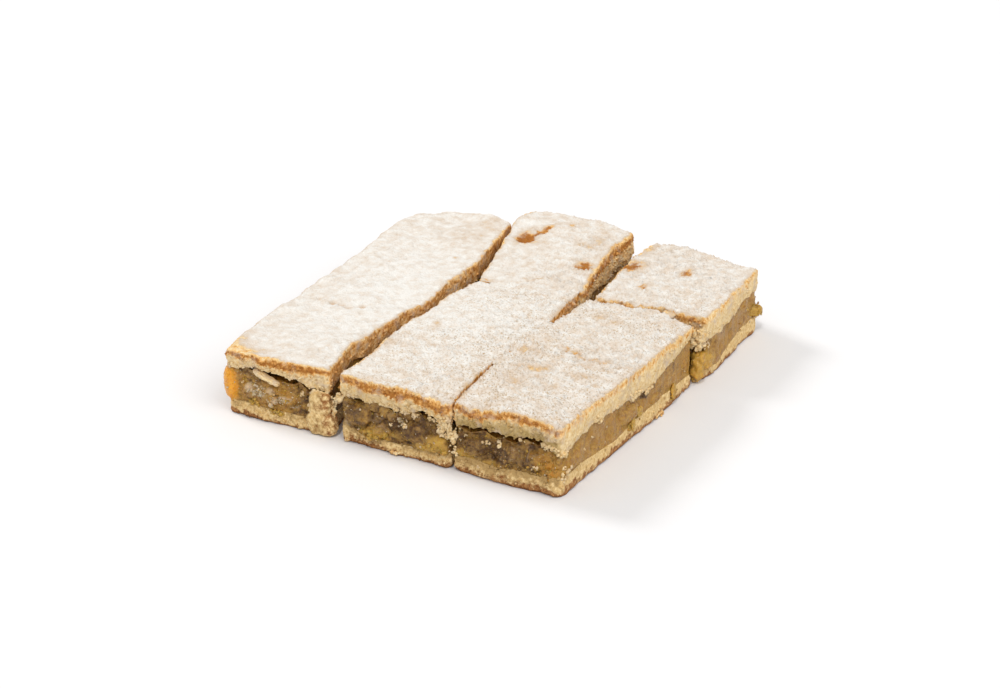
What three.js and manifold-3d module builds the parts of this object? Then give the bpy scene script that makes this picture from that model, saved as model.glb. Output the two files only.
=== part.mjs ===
import * as THREE from "three";
import { mergeVertices } from "three/addons/utils/BufferGeometryUtils.js";
import Module from "manifold-3d";

// A flat apple pie baked in a tray: a sheet of shortcrust pastry, a layer of soft apple and a second sheet
// on top. It is cut into five slices that still keep the shape of the whole block, each with its three layers.
// Millimetres, +Z up. Plan points are written from the block's front left corner, x to the right and y to
// the back. The pie's own frame has its origin under the middle of its box.

const wasm = await Module();
wasm.setup();

// Driving dimensions of the block.
const pieHeight = 30;
const frontWidth = 161;
const blockMiddle = [69.86, 107.23];
const lidUnderside = 20.4;
const baseTop = 6.4;
const layerGap = 0.55;
const leastGap = 0.35;
const cutGap = 0.5;

// Rounding of the lid's rim where a knife cut it, and where the pastry met the tray: how far in and down
// the edge is, and how far down the next row of points is. A corner is broken off by cornerInset more.
const rimWidth = 1.9;
const cutRim = { inset: 0.15, drop: 0.9, shoulder: 0.15 };
const trayRim = { inset: 0.5, drop: 1.5, shoulder: 0.9 };
const cornerInset = 0.9;
// How far in the sides of the lid stand at their lower edge, and how much the broken pastry wanders.
const lidFoot = 0.5;
const lidLedge = 0.2;
const pastryRagged = { depth: 0.35, length: 9 };
// The base curls up where it met the tray, and only breaks off at its foot where it was cut.
const trayFoot = 3.6;
const trayBelly = 0.8;
const cutFoot = 0.9;
const baseShoulder = 0.4;
// The apple's cut sides: their mean depth, how far they swell in and out, and their edges at the pastry.
const appleSide = { inset: 0.6, swell: 0.75, length: 8, lowEdge: 1.2, highEdge: 1.6 };
// Slow waves, as height or depth and length: of the crust's top, of the layers, and of the cuts in plan.
const topWaves = [{ height: 0.45, length: 38, seed: 5 }, { height: 0.25, length: 15, seed: 9 }];
const layerWaves = { height: 0.9, length: 31 };
const cutWaves = { depth: 0.35, length: 17 };

// How far in from its border the rim of a layer's hidden face reaches.
const hiddenRim = 5;
const goldenAngle = Math.PI * (3 - Math.sqrt(5));

// Slices: the plan of both long sides from front to back, how far the front and back edges bow out, the
// number of cells, which sides met the tray, and what lifts or dents the lid.
const slices = [
  {
    name: "left_strip",
    leftSide: [
      [-0.4, 0.2], [-6, 25], [-9.3, 51], [-12.5, 78], [-16.2, 108], [-20, 138], [-25, 165],
      [-24.2, 186], [-13, 198],
    ],
    rightSide: [
      [52.3, 2.6], [46.2, 26], [45, 51], [45.4, 74], [46, 92], [43, 108], [42, 124], [39.8, 144],
      [35.8, 162], [31, 181], [27.4, 198],
    ],
    bow: { front: 1.5, back: 4 },
    cells: { across: 12, along: 27 },
    tray: ["left", "back"],
    swells: [{ at: [13, 203], radius: 12, height: 2.2 }, { at: [3, 192], radius: 9, height: -1.4 }],
  },
  {
    name: "middle_front",
    leftSide: [[57, 1.6], [56.8, 18], [55, 36], [51.4, 58], [52.6, 78], [50.2, 101], [51.2, 121.6]],
    rightSide: [
      [111, 1.2], [109.9, 15], [107.6, 30], [106.3, 44], [106.3, 62], [105.2, 84], [104.1, 100],
      [101.6, 118], [100.8, 131],
    ],
    bow: { front: 0.6, back: 0.5 },
    cells: { across: 13, along: 18 },
    tray: [],
    swells: [{ at: [108, 0], radius: 7, height: -1.2 }, { at: [82, 60], radius: 35, height: 0.7 }],
  },
  {
    name: "middle_back",
    leftSide: [[51.3, 122.4], [45.6, 144], [38.4, 170], [31.8, 190], [30.8, 204], [35.5, 215.4]],
    rightSide: [[101.8, 132.6], [95.8, 158], [92.4, 178], [91.8, 193], [90.8, 208.4]],
    bow: { front: -0.3, back: 3.4 },
    cells: { across: 12, along: 13 },
    tray: ["back"],
    lift: { from: 126, to: 205, height: 4 },
    swells: [{ at: [46.4, 178.2], radius: 5.2, height: -3.4 }, { at: [49.6, 188.6], radius: 4, height: -1.5 }],
  },
  {
    name: "right_front",
    leftSide: [
      [111.8, 0.8], [110.6, 15], [108.3, 30], [107, 44], [107, 62], [105.9, 84], [105.3, 98],
      [106.8, 112], [107, 126.5],
    ],
    rightSide: [[161, 0.4], [161.6, 25], [161.7, 50], [162, 76], [162.1, 102], [160.2, 123.5]],
    bow: { front: 0.8, back: 3.8 },
    cells: { across: 13, along: 18 },
    tray: [],
    swells: [{ at: [139, 2], radius: 17, height: 2.3 }, { at: [158, 122], radius: 9, height: -1.6 }],
  },
  {
    name: "right_back",
    leftSide: [[108.2, 130.2], [105.8, 148], [103, 167], [100.4, 187], [100, 210.5]],
    rightSide: [[163.6, 131], [163.4, 148], [162.5, 165], [161.8, 180], [161, 196.5]],
    bow: { front: -0.4, back: 5.4 },
    cells: { across: 12, along: 11 },
    tray: ["back"],
    swells: [{ at: [160, 193], radius: 9, height: 1 }],
  },
];

// Heights along the front cut, as [x, z]: the knife dragged the lid down at each slice's end.
const frontLidUnderside = [
  [0, 20.6], [14, 23.4], [25, 23.6], [36, 22], [45, 20.2], [51, 17.6], [58, 20], [64, 20.8], [78, 20],
  [84, 20.6], [89, 18.6], [96, 23], [103, 21.4], [109, 15.6], [114, 20.3], [127, 22.3], [136, 21.3],
  [143, 23], [152, 23.3], [157, 19.6], [161, 17.2],
];
const frontBaseTop = [
  [0, 5.6], [9, 7], [20, 6.4], [39, 6.1], [54, 5.6], [57, 9.8], [61, 6.6], [68, 4.4], [80, 5],
  [95, 5.2], [111, 6.6], [123, 7.6], [133, 6.2], [139, 7.8], [153, 8], [161, 8.4],
];
// How far the apple has sunk from the lid along the front cut, as [x, depth]: dark hollows show there.
const frontHollows = [
  [10, 0], [15, 1.8], [26, 3.4], [34, 2.2], [37, 0.2], [41, 2.6], [48, 2.2], [51, 0], [62, 0],
  [66, 2.2], [70, 0], [80, 0.2], [84, 1.8], [87, 0], [94, 0], [98, 3], [103, 2.4], [106, 0],
  [114, 0.3], [119, 2.4], [126, 0.8], [131, 2.6], [135, 1], [140, 3], [145, 1], [150, 2.8], [155, 0],
];
// Heights along the right cut, as [y, z].
const rightLidUnderside = [
  [0, 17.2], [13, 19.2], [29, 20.7], [46, 19.7], [62, 18.9], [80, 17.8], [98, 20], [111, 21],
  [121, 23.5], [131, 20], [139, 18], [151, 17.3], [168, 19.4], [180, 21.5], [195, 21],
];
const rightBaseTop = [
  [0, 8.4], [22, 7.7], [46, 5.4], [67, 7.6], [90, 8.4], [119, 6.1], [146, 3.4], [164, 7], [175, 8.2],
  [195, 8.8],
];
// A cut face's own heights fade into the layer's mean height over this distance.
const faceDepth = 9;

// Lumps of apple that stand out of the cut faces: middle, half sizes and turn about Z in degrees.
const appleLumps = {
  left_strip: [
    { at: [-0.2, 4.4, 10.5], half: [3.2, 4, 5], turn: 20 },
    { at: [12, 1.6, 12.5], half: [4.5, 2.6, 3.4], turn: 5 },
    { at: [22, 1.4, 10.5], half: [4, 2.2, 2.6], turn: -12 },
    { at: [31, 1.8, 13], half: [4.2, 2.4, 3.2], turn: 8 },
  ],
  middle_front: [
    { at: [66, 1.4, 13.5], half: [6, 2.4, 4.4], turn: 4 },
    { at: [74, 0.9, 7.4], half: [4.6, 1.9, 2.4], turn: -8 },
    { at: [93, 1.4, 12], half: [5.4, 2.4, 4], turn: 6 },
    { at: [104, 0.9, 8.6], half: [5.4, 1.9, 3.4], turn: -6 },
  ],
  right_front: [
    { at: [122, 1.4, 13], half: [5.4, 2.4, 3.8], turn: 6 },
    { at: [137, 1.6, 14], half: [5, 2.6, 4.4], turn: -10 },
    { at: [149, 1.4, 13.5], half: [4.6, 2.4, 4], turn: 12 },
    { at: [160.6, 12, 13], half: [1.8, 7, 3.6], turn: 0 },
    { at: [160.9, 60, 12.4], half: [1.8, 8, 3.4], turn: 0 },
    { at: [160.8, 84, 9.6], half: [1.8, 4.6, 2.6], turn: 0 },
  ],
  middle_back: [{ at: [91.4, 182, 14], half: [2, 7, 4], turn: 8 }],
  right_back: [
    { at: [161.6, 134.8, 6.6], half: [3.4, 5.4, 5.8], turn: 0, throughCrust: true },
    { at: [161.4, 192.5, 11.6], half: [4, 2.6, 2.2], turn: -14 },
  ],
};
// The strip's crumbled pastry that the knife drew down over the apple, and the flake that hangs under
// its lid.
const pastryColumn = { at: [46.8, 2.9, 8.6], size: [10, 4.6, 15.4], clearance: 0.4 };
const hangingFlake = { at: [20.6, 1.6, 19.4], size: [13.6, 5, 2.2], tilt: 18 };
const crumbWaves = { depth: 0.6, length: 10 };

// A smooth uneven field between about -1 and 1: sine waves whose directions turn by the golden angle.
function unevenness(x, y, wavelength, seed) {
  const waves = 5;
  let sum = 0;
  for (let wave = 0; wave < waves; wave++) {
    const turn = (wave + seed) * goldenAngle;
    const length = wavelength * (0.7 + 0.17 * wave);
    const along = x * Math.cos(turn) + y * Math.sin(turn);
    sum += Math.sin((2 * Math.PI * along) / length + seed * 1.7 + wave * 2.3);
  }
  return sum / (0.52 * waves);
}

const smooth = (from, to, value) => THREE.MathUtils.smoothstep(value, from, to);

// A height from a list of [place, height], straight between its points.
function heightAt(list, place) {
  if (place <= list[0][0]) return list[0][1];
  for (let k = 1; k < list.length; k++) {
    const [x0, z0] = list[k - 1];
    const [x1, z1] = list[k];
    if (place <= x1) return THREE.MathUtils.lerp(z0, z1, (place - x0) / (x1 - x0));
  }
  return list[list.length - 1][1];
}

// A layer's height: its mean, a slow unevenness, and the measured heights near the front and right cuts.
function layerHeight(x, y, mean, seed, frontList, rightList) {
  const loose = mean + layerWaves.height * unevenness(x, y, layerWaves.length, seed);
  const nearFront = 1 - smooth(0, faceDepth, y);
  const nearRight = 1 - smooth(0, faceDepth, frontWidth - x);
  const atRight = THREE.MathUtils.lerp(loose, heightAt(rightList, y), nearRight);
  return THREE.MathUtils.lerp(atRight, heightAt(frontList, x), nearFront);
}

const underLid = (x, y) => layerHeight(x, y, lidUnderside, 3, frontLidUnderside, rightLidUnderside);
const aboveBase = (x, y) => layerHeight(x, y, baseTop, 8, frontBaseTop, rightBaseTop);
const hollowDepth = (x, y) => heightAt([[0, 0], ...frontHollows], x) * (1 - smooth(2, 8, y));

// Catmull-Rom curves along both long sides make the plan of a slice, ruled from the left side to the
// right one.
function planOf(slice) {
  const sideCurve = (points) => {
    const corners = points.map(([x, y]) => new THREE.Vector3(x, y, 0));
    return new THREE.CatmullRomCurve3(corners, false, "catmullrom", 0.5);
  };
  const left = sideCurve(slice.leftSide);
  const right = sideCurve(slice.rightSide);
  const width = slice.rightSide[0][0] - slice.leftSide[0][0];
  const length = slice.rightSide[slice.rightSide.length - 1][1] - slice.rightSide[0][1];
  const at = (u, v) => {
    const point = left.getPoint(v).lerp(right.getPoint(v), u);
    const belly = 4 * u * (1 - u);
    point.y += belly * (slice.bow.back * smooth(0.6, 1, v) - slice.bow.front * (1 - smooth(0, 0.3, v)));
    point.x += cutWaves.depth * unevenness(point.x, point.y, cutWaves.length, 12);
    point.y += cutWaves.depth * unevenness(point.x, point.y, cutWaves.length, 15);
    return point;
  };
  return { at, width, length };
}

// Positions from 0 to 1 with one narrow cell at each end.
function cellEdges(count, rim) {
  const edges = [0];
  for (let k = 0; k < count - 1; k++) edges.push(THREE.MathUtils.lerp(rim, 1 - rim, k / (count - 2)));
  edges.push(1);
  return edges;
}

// The border of a slice's cells, counter-clockwise from the front left corner, with the side each point
// is on.
function borderOf(us, vs) {
  const border = [];
  const lastU = us.length - 1;
  const lastV = vs.length - 1;
  for (let i = 0; i < lastU; i++) border.push({ i, j: 0, side: "front" });
  for (let j = 0; j < lastV; j++) border.push({ i: lastU, j, side: "right" });
  for (let i = lastU; i > 0; i--) border.push({ i, j: lastV, side: "back" });
  for (let j = lastV; j > 0; j--) border.push({ i: 0, j, side: "left" });
  return border.map((point) => ({ ...point, u: us[point.i], v: vs[point.j] }));
}

// Collects the points and triangles of one closed surface.
class Surface {
  constructor() {
    this.points = [];
    this.triangles = [];
  }
  add(x, y, z) {
    this.points.push(x - blockMiddle[0], y - blockMiddle[1], z);
    return this.points.length / 3 - 1;
  }
  quad(a, b, c, d) {
    this.triangles.push(a, b, c, a, c, d);
  }
  // A band between two loops of the same number of points, the second one inside or above the first.
  band(lower, upper) {
    lower.forEach((a, k) => {
      const next = (k + 1) % lower.length;
      this.quad(a, lower[next], upper[next], upper[k]);
    });
  }
  // A fan that closes a loop to a point in its middle, facing up or down.
  fan(loop, middle, up) {
    loop.forEach((a, k) => {
      const next = loop[(k + 1) % loop.length];
      this.triangles.push(...(up ? [a, next, middle] : [next, a, middle]));
    });
  }
  geometry() {
    const made = new THREE.BufferGeometry();
    made.setAttribute("position", new THREE.Float32BufferAttribute(this.points, 3));
    made.setIndex(this.triangles);
    return made;
  }
}

// One slice's plan, its cells and the outward direction at each border point.
function sliceFrame(slice) {
  const plan = planOf(slice);
  const us = cellEdges(slice.cells.across, rimWidth / plan.width);
  const vs = cellEdges(slice.cells.along, rimWidth / plan.length);
  const border = borderOf(us, vs);
  const spots = border.map(({ u, v }) => plan.at(u, v));
  border.forEach((point, k) => {
    const before = spots[(k + spots.length - 1) % spots.length];
    const after = spots[(k + 1) % spots.length];
    const outward = new THREE.Vector2(after.y - before.y, before.x - after.x).normalize();
    const corner = (point.u === 0 || point.u === 1) && (point.v === 0 || point.v === 1);
    const backCorner = point.side === "left" && point.v === 1 && slice.tray.includes("back");
    const onTray = slice.tray.includes(point.side) || backCorner;
    Object.assign(point, { spot: spots[k], outward, corner, onTray });
  });
  return { slice, plan, us, vs, border };
}

// A loop round the slice, moved in by an inset and set at a height.
function loopOf(surface, border, insetOf, heightOf) {
  return border.map((point) => {
    const inset = insetOf(point) + cutGap / 2 + (point.corner ? cornerInset : 0);
    const x = point.spot.x - inset * point.outward.x;
    const y = point.spot.y - inset * point.outward.y;
    return surface.add(x, y, heightOf(x, y, point));
  });
}

// The inner edge of a hidden face's rim, level all round.
function hiddenLoop(surface, frame, height) {
  const a = hiddenRim / frame.plan.width;
  const b = hiddenRim / frame.plan.length;
  return frame.border.map(({ u, v }) => {
    const point = frame.plan.at(a + (1 - 2 * a) * u, b + (1 - 2 * b) * v);
    return surface.add(point.x, point.y, height);
  });
}

// The middle point of a level face.
function middleOf(surface, frame, height) {
  const point = frame.plan.at(0.5, 0.5);
  return surface.add(point.x, point.y, height);
}

// The top of the crust: level, with slow waves, the slice's own lift, swells and dents, and lower at
// its rim.
function crustTop(slice, x, y) {
  let height = pieHeight;
  for (const wave of topWaves) height += wave.height * unevenness(x, y, wave.length, wave.seed);
  if (slice.lift) height += slice.lift.height * smooth(slice.lift.from, slice.lift.to, y);
  for (const { at, radius, height: swell } of slice.swells) {
    const distance = Math.hypot(x - at[0], y - at[1]) / radius;
    height += swell * Math.exp(-distance * distance);
  }
  return height;
}

// How far the broken pastry stands in or out at a border point.
function raggedAt(point, seed) {
  return pastryRagged.depth * unevenness(point.spot.x, point.spot.y, pastryRagged.length, seed);
}

// The upper crust: a full grid on top, a broken edge at the sides and a hidden underside.
function crustLid(frame) {
  const { slice, us, vs, border } = frame;
  const surface = new Surface();
  const rimOf = (point) => (point.onTray ? trayRim : cutRim);
  const edgeHeight = (x, y, point) => crustTop(slice, x, y) - rimOf(point).drop;
  const top = new Map();
  const rim = loopOf(surface, border, (p) => rimOf(p).inset, edgeHeight);
  border.forEach((point, k) => top.set(point.i + "," + point.j, rim[k]));
  const lastU = us.length - 1;
  const lastV = vs.length - 1;
  for (let i = 1; i < lastU; i++)
    for (let j = 1; j < lastV; j++) {
      const point = frame.plan.at(us[i], vs[j]);
      const byLeft = slice.tray.includes("left") && i === 1;
      const byBack = slice.tray.includes("back") && j === lastV - 1;
      const byCut = i === 1 || j === 1 || i === lastU - 1 || j === lastV - 1;
      let height = crustTop(slice, point.x, point.y);
      if (byLeft || byBack) height -= trayRim.shoulder;
      else if (byCut) height -= cutRim.shoulder;
      top.set(i + "," + j, surface.add(point.x, point.y, height));
    }
  for (let i = 0; i < lastU; i++)
    for (let j = 0; j < lastV; j++) {
      const corners = [[i, j], [i + 1, j], [i + 1, j + 1], [i, j + 1]];
      surface.quad(...corners.map((pair) => top.get(pair.join(","))));
    }
  const between = (share) => (x, y, p) => THREE.MathUtils.lerp(underLid(x, y), edgeHeight(x, y, p), share);
  const low = loopOf(surface, border, (p) => lidFoot + raggedAt(p, 21), underLid);
  const middle = loopOf(surface, border, (p) => raggedAt(p, 22), between(0.35));
  const high = loopOf(surface, border, (p) => raggedAt(p, 23) - lidLedge, between(0.75));
  surface.band(low, middle);
  surface.band(middle, high);
  surface.band(high, rim);
  const inner = hiddenLoop(surface, frame, lidUnderside);
  surface.band(inner, low);
  surface.fan(inner, middleOf(surface, frame, lidUnderside), false);
  return surface.geometry();
}

// The apple layer: it runs through the slice, bulges a little out of the cuts and has sunk under the
// lid in places.
function appleFilling(frame) {
  const surface = new Surface();
  const { border } = frame;
  const { inset, swell, length, lowEdge, highEdge } = appleSide;
  const bulge = (p, seed) => inset - swell * unevenness(p.spot.x, p.spot.y, length, seed);
  const lowAt = (x, y) => aboveBase(x, y) + layerGap;
  const highAt = (x, y) => underLid(x, y) - layerGap - hollowDepth(x, y);
  const share = (part) => (x, y) => THREE.MathUtils.lerp(lowAt(x, y), highAt(x, y), part);
  const low = loopOf(surface, border, () => lowEdge, lowAt);
  const lower = loopOf(surface, border, (p) => bulge(p, 31), share(0.3));
  const upper = loopOf(surface, border, (p) => bulge(p, 33), share(0.7));
  const high = loopOf(surface, border, () => highEdge, highAt);
  surface.band(low, lower);
  surface.band(lower, upper);
  surface.band(upper, high);
  const innerLow = hiddenLoop(surface, frame, baseTop + layerGap);
  const innerHigh = hiddenLoop(surface, frame, lidUnderside - layerGap);
  surface.band(innerLow, low);
  surface.fan(innerLow, middleOf(surface, frame, baseTop + layerGap), false);
  surface.band(high, innerHigh);
  surface.fan(innerHigh, middleOf(surface, frame, lidUnderside - layerGap), true);
  return surface.geometry();
}

// The lower crust: flat underneath, with a broken foot at the cuts and a curled one where it met the tray.
function crustBase(frame) {
  const surface = new Surface();
  const { border } = frame;
  const foot = (p) => (p.onTray ? trayFoot : cutFoot + raggedAt(p, 41));
  const side = (p) => (p.onTray ? trayBelly : 0) + raggedAt(p, 43);
  const bellyHeight = (x, y, p) => aboveBase(x, y) * (p.onTray ? 0.5 : 0.3);
  const bottom = loopOf(surface, border, foot, () => 0);
  const middle = loopOf(surface, border, side, bellyHeight);
  const high = loopOf(surface, border, (p) => baseShoulder + side(p) / 2, aboveBase);
  surface.fan(bottom, middleOf(surface, frame, 0), false);
  surface.band(bottom, middle);
  surface.band(middle, high);
  const inner = hiddenLoop(surface, frame, baseTop);
  surface.band(high, inner);
  surface.fan(inner, middleOf(surface, frame, baseTop), true);
  return surface.geometry();
}

// A three.js geometry as a solid, and back.
function solidFrom(geometry) {
  const plain = geometry.clone();
  plain.deleteAttribute("normal");
  plain.deleteAttribute("uv");
  const merged = mergeVertices(plain);
  const triVerts = new Uint32Array(merged.index.array);
  const vertProperties = merged.attributes.position.array;
  return new wasm.Manifold(new wasm.Mesh({ numProp: 3, vertProperties, triVerts }));
}
function geometryFrom(solid) {
  const mesh = solid.getMesh();
  const made = new THREE.BufferGeometry();
  made.setAttribute("position", new THREE.BufferAttribute(mesh.vertProperties, 3));
  made.setIndex(new THREE.BufferAttribute(mesh.triVerts, 1));
  return made;
}

// A rounded lump of apple: an octahedron divided once, stretched to its half sizes.
function lumpGeometry({ at, half, turn }) {
  const lump = new THREE.OctahedronGeometry(1, 1);
  lump.scale(...half);
  lump.rotateZ(THREE.MathUtils.degToRad(turn));
  lump.translate(at[0] - blockMiddle[0], at[1] - blockMiddle[1], at[2]);
  return lump;
}

// The same lump, larger all round by the least gap between two solids.
const grown = (lump) => ({ ...lump, half: lump.half.map((length) => length + 2 * leastGap) });

// A block of broken pastry with uneven faces, grown on every side by a clearance.
function crumbBlock({ at, size }, clearance = 0, tilt = 0) {
  const block = new THREE.BoxGeometry(...size.map((length) => length + 2 * clearance), 3, 1, 3);
  const points = block.attributes.position;
  for (let k = 0; k < points.count; k++) {
    const x = points.getX(k);
    const z = points.getZ(k);
    points.setX(k, x + crumbWaves.depth * unevenness(z, x, crumbWaves.length, 51));
    points.setY(k, points.getY(k) + crumbWaves.depth * unevenness(x, z, crumbWaves.length, 52));
  }
  block.rotateY(THREE.MathUtils.degToRad(tilt));
  block.translate(at[0] - blockMiddle[0], at[1] - blockMiddle[1], at[2]);
  return block;
}

// Baked shortcrust, the same crust under icing sugar, and moist cooked apple.
const finishes = {
  base: { color: 0xd9b177, roughness: 0.85 },
  lid: { color: 0xefe6da, roughness: 0.95 },
  apple: { color: 0x8f7344, roughness: 0.35 },
};

const pie = new THREE.Group();
function addLayer(slice, layer, solid) {
  const mesh = new THREE.Mesh(geometryFrom(solid), new THREE.MeshStandardMaterial(finishes[layer]));
  mesh.name = slice.name + "_" + layer;
  pie.add(mesh);
}

for (const slice of slices) {
  const frame = sliceFrame(slice);
  let base = solidFrom(crustBase(frame));
  let apple = solidFrom(appleFilling(frame));
  const lid = solidFrom(crustLid(frame));
  for (const lump of appleLumps[slice.name]) {
    apple = apple.add(solidFrom(lumpGeometry(lump)));
    if (lump.throughCrust) base = base.subtract(solidFrom(lumpGeometry(grown(lump))));
  }
  if (slice.name === "left_strip") {
    base = base.add(solidFrom(crumbBlock(pastryColumn)));
    apple = apple.subtract(solidFrom(crumbBlock(pastryColumn, pastryColumn.clearance)));
    apple = apple.add(solidFrom(crumbBlock(hangingFlake, 0, hangingFlake.tilt)));
  }
  apple = apple.subtract(lid.translate([0, 0, -leastGap])).subtract(base.translate([0, 0, leastGap]));
  addLayer(slice, "base", base);
  addLayer(slice, "apple", apple);
  addLayer(slice, "lid", lid);
}

export default pie;
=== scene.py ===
import math

import bpy
import numpy as np
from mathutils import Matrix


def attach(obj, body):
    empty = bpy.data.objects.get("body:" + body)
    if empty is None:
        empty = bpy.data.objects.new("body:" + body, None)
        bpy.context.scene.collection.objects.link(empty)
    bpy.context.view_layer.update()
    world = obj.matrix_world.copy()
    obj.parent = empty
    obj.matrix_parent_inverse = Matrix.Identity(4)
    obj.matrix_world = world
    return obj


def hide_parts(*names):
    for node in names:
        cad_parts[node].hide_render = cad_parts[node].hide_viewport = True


# A flat apple pie in five slices. All shapes are worked out in the pie's own millimetres: x to the right
# along the front cut, y to the back, z up, from the block's front left corner. putInMesh makes them metres.
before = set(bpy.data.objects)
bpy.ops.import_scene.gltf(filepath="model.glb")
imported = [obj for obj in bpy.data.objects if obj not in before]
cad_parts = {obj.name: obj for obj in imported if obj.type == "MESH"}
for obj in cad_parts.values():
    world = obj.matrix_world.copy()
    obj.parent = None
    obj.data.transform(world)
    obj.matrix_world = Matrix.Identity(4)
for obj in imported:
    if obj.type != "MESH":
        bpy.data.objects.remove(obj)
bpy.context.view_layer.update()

block = {
    "height": 30.0,
    "frontWidth": 161.0,
    "middle": (69.86, 107.23),  # the plan point that the frame's origin lies under
    "lidUnderside": 20.4,
    "baseTop": 6.4,
    "layerGap": 0.55,
    "cutGap": 0.5,
    "faceDepth": 9.0,  # a cut's own heights fade into the layer's mean height over this distance
    "cornerRadius": 2.2,
    "cell": 0.5,  # spacing of the surface points
    "gridInset": 0.15,  # how far inside the cuts the grid's border lies
}
goldenAngle = math.pi * (3 - math.sqrt(5))

slices = [
    {
        "name": "left_strip",
        "leftSide": [(-0.4, 0.2), (-6, 25), (-9.3, 51), (-12.5, 78), (-16.2, 108), (-20, 138), (-25, 165),
                     (-24.2, 186), (-13, 198)],
        "rightSide": [(52.3, 2.6), (46.2, 26), (45, 51), (45.4, 74), (46, 92), (43, 108), (42, 124),
                      (39.8, 144), (35.8, 162), (31, 181), (27.4, 198)],
        "bow": (1.5, 4),
        "tray": ("left", "back"),
        "worn": {"right": 1.6, "front": 1.0},
        "swells": [((13, 203), 12, 2.2), ((3, 192), 9, -1.4)],
    },
    {
        "name": "middle_front",
        "leftSide": [(57, 1.6), (56.8, 18), (55, 36), (51.4, 58), (52.6, 78), (50.2, 101), (51.2, 121.6)],
        "rightSide": [(111, 1.2), (109.9, 15), (107.6, 30), (106.3, 44), (106.3, 62), (105.2, 84),
                      (104.1, 100), (101.6, 118), (100.8, 131)],
        "bow": (0.6, 0.5),
        "tray": (),
        "worn": {"left": 1.6, "front": 0.8},
        "juice": {"front": 0.12},
        "swells": [((108, 0), 7, -1.2), ((82, 60), 35, 0.7)],
    },
    {
        "name": "middle_back",
        "leftSide": [(51.3, 122.4), (45.6, 144), (38.4, 170), (31.8, 190), (30.8, 204), (35.5, 215.4)],
        "rightSide": [(101.8, 132.6), (95.8, 158), (92.4, 178), (91.8, 193), (90.8, 208.4)],
        "bow": (-0.3, 3.4),
        "tray": ("back",),
        "worn": {"right": 2.4, "left": 0.8},
        "lift": (126, 205, 4),
        "swells": [((46.4, 178.2), 5.2, -3.4), ((49.6, 188.6), 4, -1.5)],
    },
    {
        "name": "right_front",
        "leftSide": [(111.8, 0.8), (110.6, 15), (108.3, 30), (107, 44), (107, 62), (105.9, 84), (105.3, 98),
                     (106.8, 112), (107, 126.5)],
        "rightSide": [(161, 0.4), (161.6, 25), (161.7, 50), (162, 76), (162.1, 102), (160.2, 123.5)],
        "bow": (0.8, 3.8),
        "tray": (),
        "worn": {"right": 0.6, "front": 0.8},
        "juice": {"front": 0.85},
        "swells": [((139, 2), 17, 2.3), ((158, 122), 9, -1.6)],
    },
    {
        "name": "right_back",
        "leftSide": [(108.2, 130.2), (105.8, 148), (103, 167), (100.4, 187), (100, 210.5)],
        "rightSide": [(163.6, 131), (163.4, 148), (162.5, 165), (161.8, 180), (161, 196.5)],
        "bow": (-0.4, 5.4),
        "tray": ("back",),
        "worn": {"right": 2.0, "front": 1.2, "left": 1.4},
        "swells": [((160, 193), 9, 1)],
    },
]

# Heights along the front cut, (x, z), and along the right cut, (y, z).
frontLidUnderside = [(0, 20.6), (14, 23.4), (25, 23.6), (36, 22), (45, 20.2), (51, 17.6), (58, 20),
                     (64, 20.8), (78, 20), (84, 20.6), (89, 18.6), (96, 23), (103, 21.4), (109, 15.6),
                     (114, 20.3), (127, 22.3), (136, 21.3), (143, 23), (152, 23.3), (157, 19.6),
                     (161, 17.2)]
frontBaseTop = [(0, 5.6), (9, 7), (20, 6.4), (39, 6.1), (54, 5.6), (57, 9.8), (61, 6.6), (68, 4.4), (80, 5),
                (95, 5.2), (111, 6.6), (123, 7.6), (133, 6.2), (139, 7.8), (153, 8), (161, 8.4)]
frontHollows = [(0, 0), (10, 0), (15, 1.8), (26, 3.4), (34, 2.2), (37, 0.2), (41, 2.6), (48, 2.2), (51, 0),
                (62, 0), (66, 2.2), (70, 0), (80, 0.2), (84, 1.8), (87, 0), (94, 0), (98, 3), (103, 2.4),
                (106, 0), (114, 0.3), (119, 2.4), (126, 0.8), (131, 2.6), (135, 1), (140, 3), (145, 1),
                (150, 2.8), (155, 0)]
rightLidUnderside = [(0, 17.2), (13, 19.2), (29, 20.7), (46, 19.7), (62, 18.9), (80, 17.8), (98, 20),
                     (111, 21), (121, 23.5), (131, 20), (139, 18), (151, 17.3), (168, 19.4), (180, 21.5),
                     (195, 21)]
rightBaseTop = [(0, 8.4), (22, 7.7), (46, 5.4), (67, 7.6), (90, 8.4), (119, 6.1), (146, 3.4), (164, 7),
                (175, 8.2), (195, 8.8)]


# Five sine waves whose directions turn by the golden angle, added: a smooth field from about -1 to 1.
def unevenness(x, y, wavelength, seed):
    total = 0.0
    for wave in range(5):
        turn = (wave + seed) * goldenAngle
        length = wavelength * (0.7 + 0.17 * wave)
        along = x * math.cos(turn) + y * math.sin(turn)
        total = total + np.sin(2 * math.pi * along / length + seed * 1.7 + wave * 2.3)
    return total / (0.52 * 5)


# The share of the way from low to high.
def straight(low, high, value):
    return np.clip((value - low) / (high - low), 0, 1)


# 3t^2 - 2t^3 of the share t of the way from low to high.
def smooth(low, high, value):
    t = straight(low, high, value)
    return t * t * (3 - 2 * t)


# low at share 0 and high at share 1, straight between.
def blend(low, high, share):
    return low + (high - low) * share


# A hill in plan: 1 in its middle, falling as exp of minus the squared distance over its half sizes.
def hill(x, y, middle, half):
    return np.exp(-(((x - middle[0]) / half[0]) ** 2) - ((y - middle[1]) / half[1]) ** 2)


# Two coordinates turned clockwise by an angle.
def turned(x, y, angle):
    return x * np.cos(angle) + y * np.sin(angle), y * np.cos(angle) - x * np.sin(angle)


# The height at a place, straight between the listed points.
def heightAt(points, place):
    listed = np.array(points, float)
    return np.interp(place, listed[:, 0], listed[:, 1])


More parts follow.
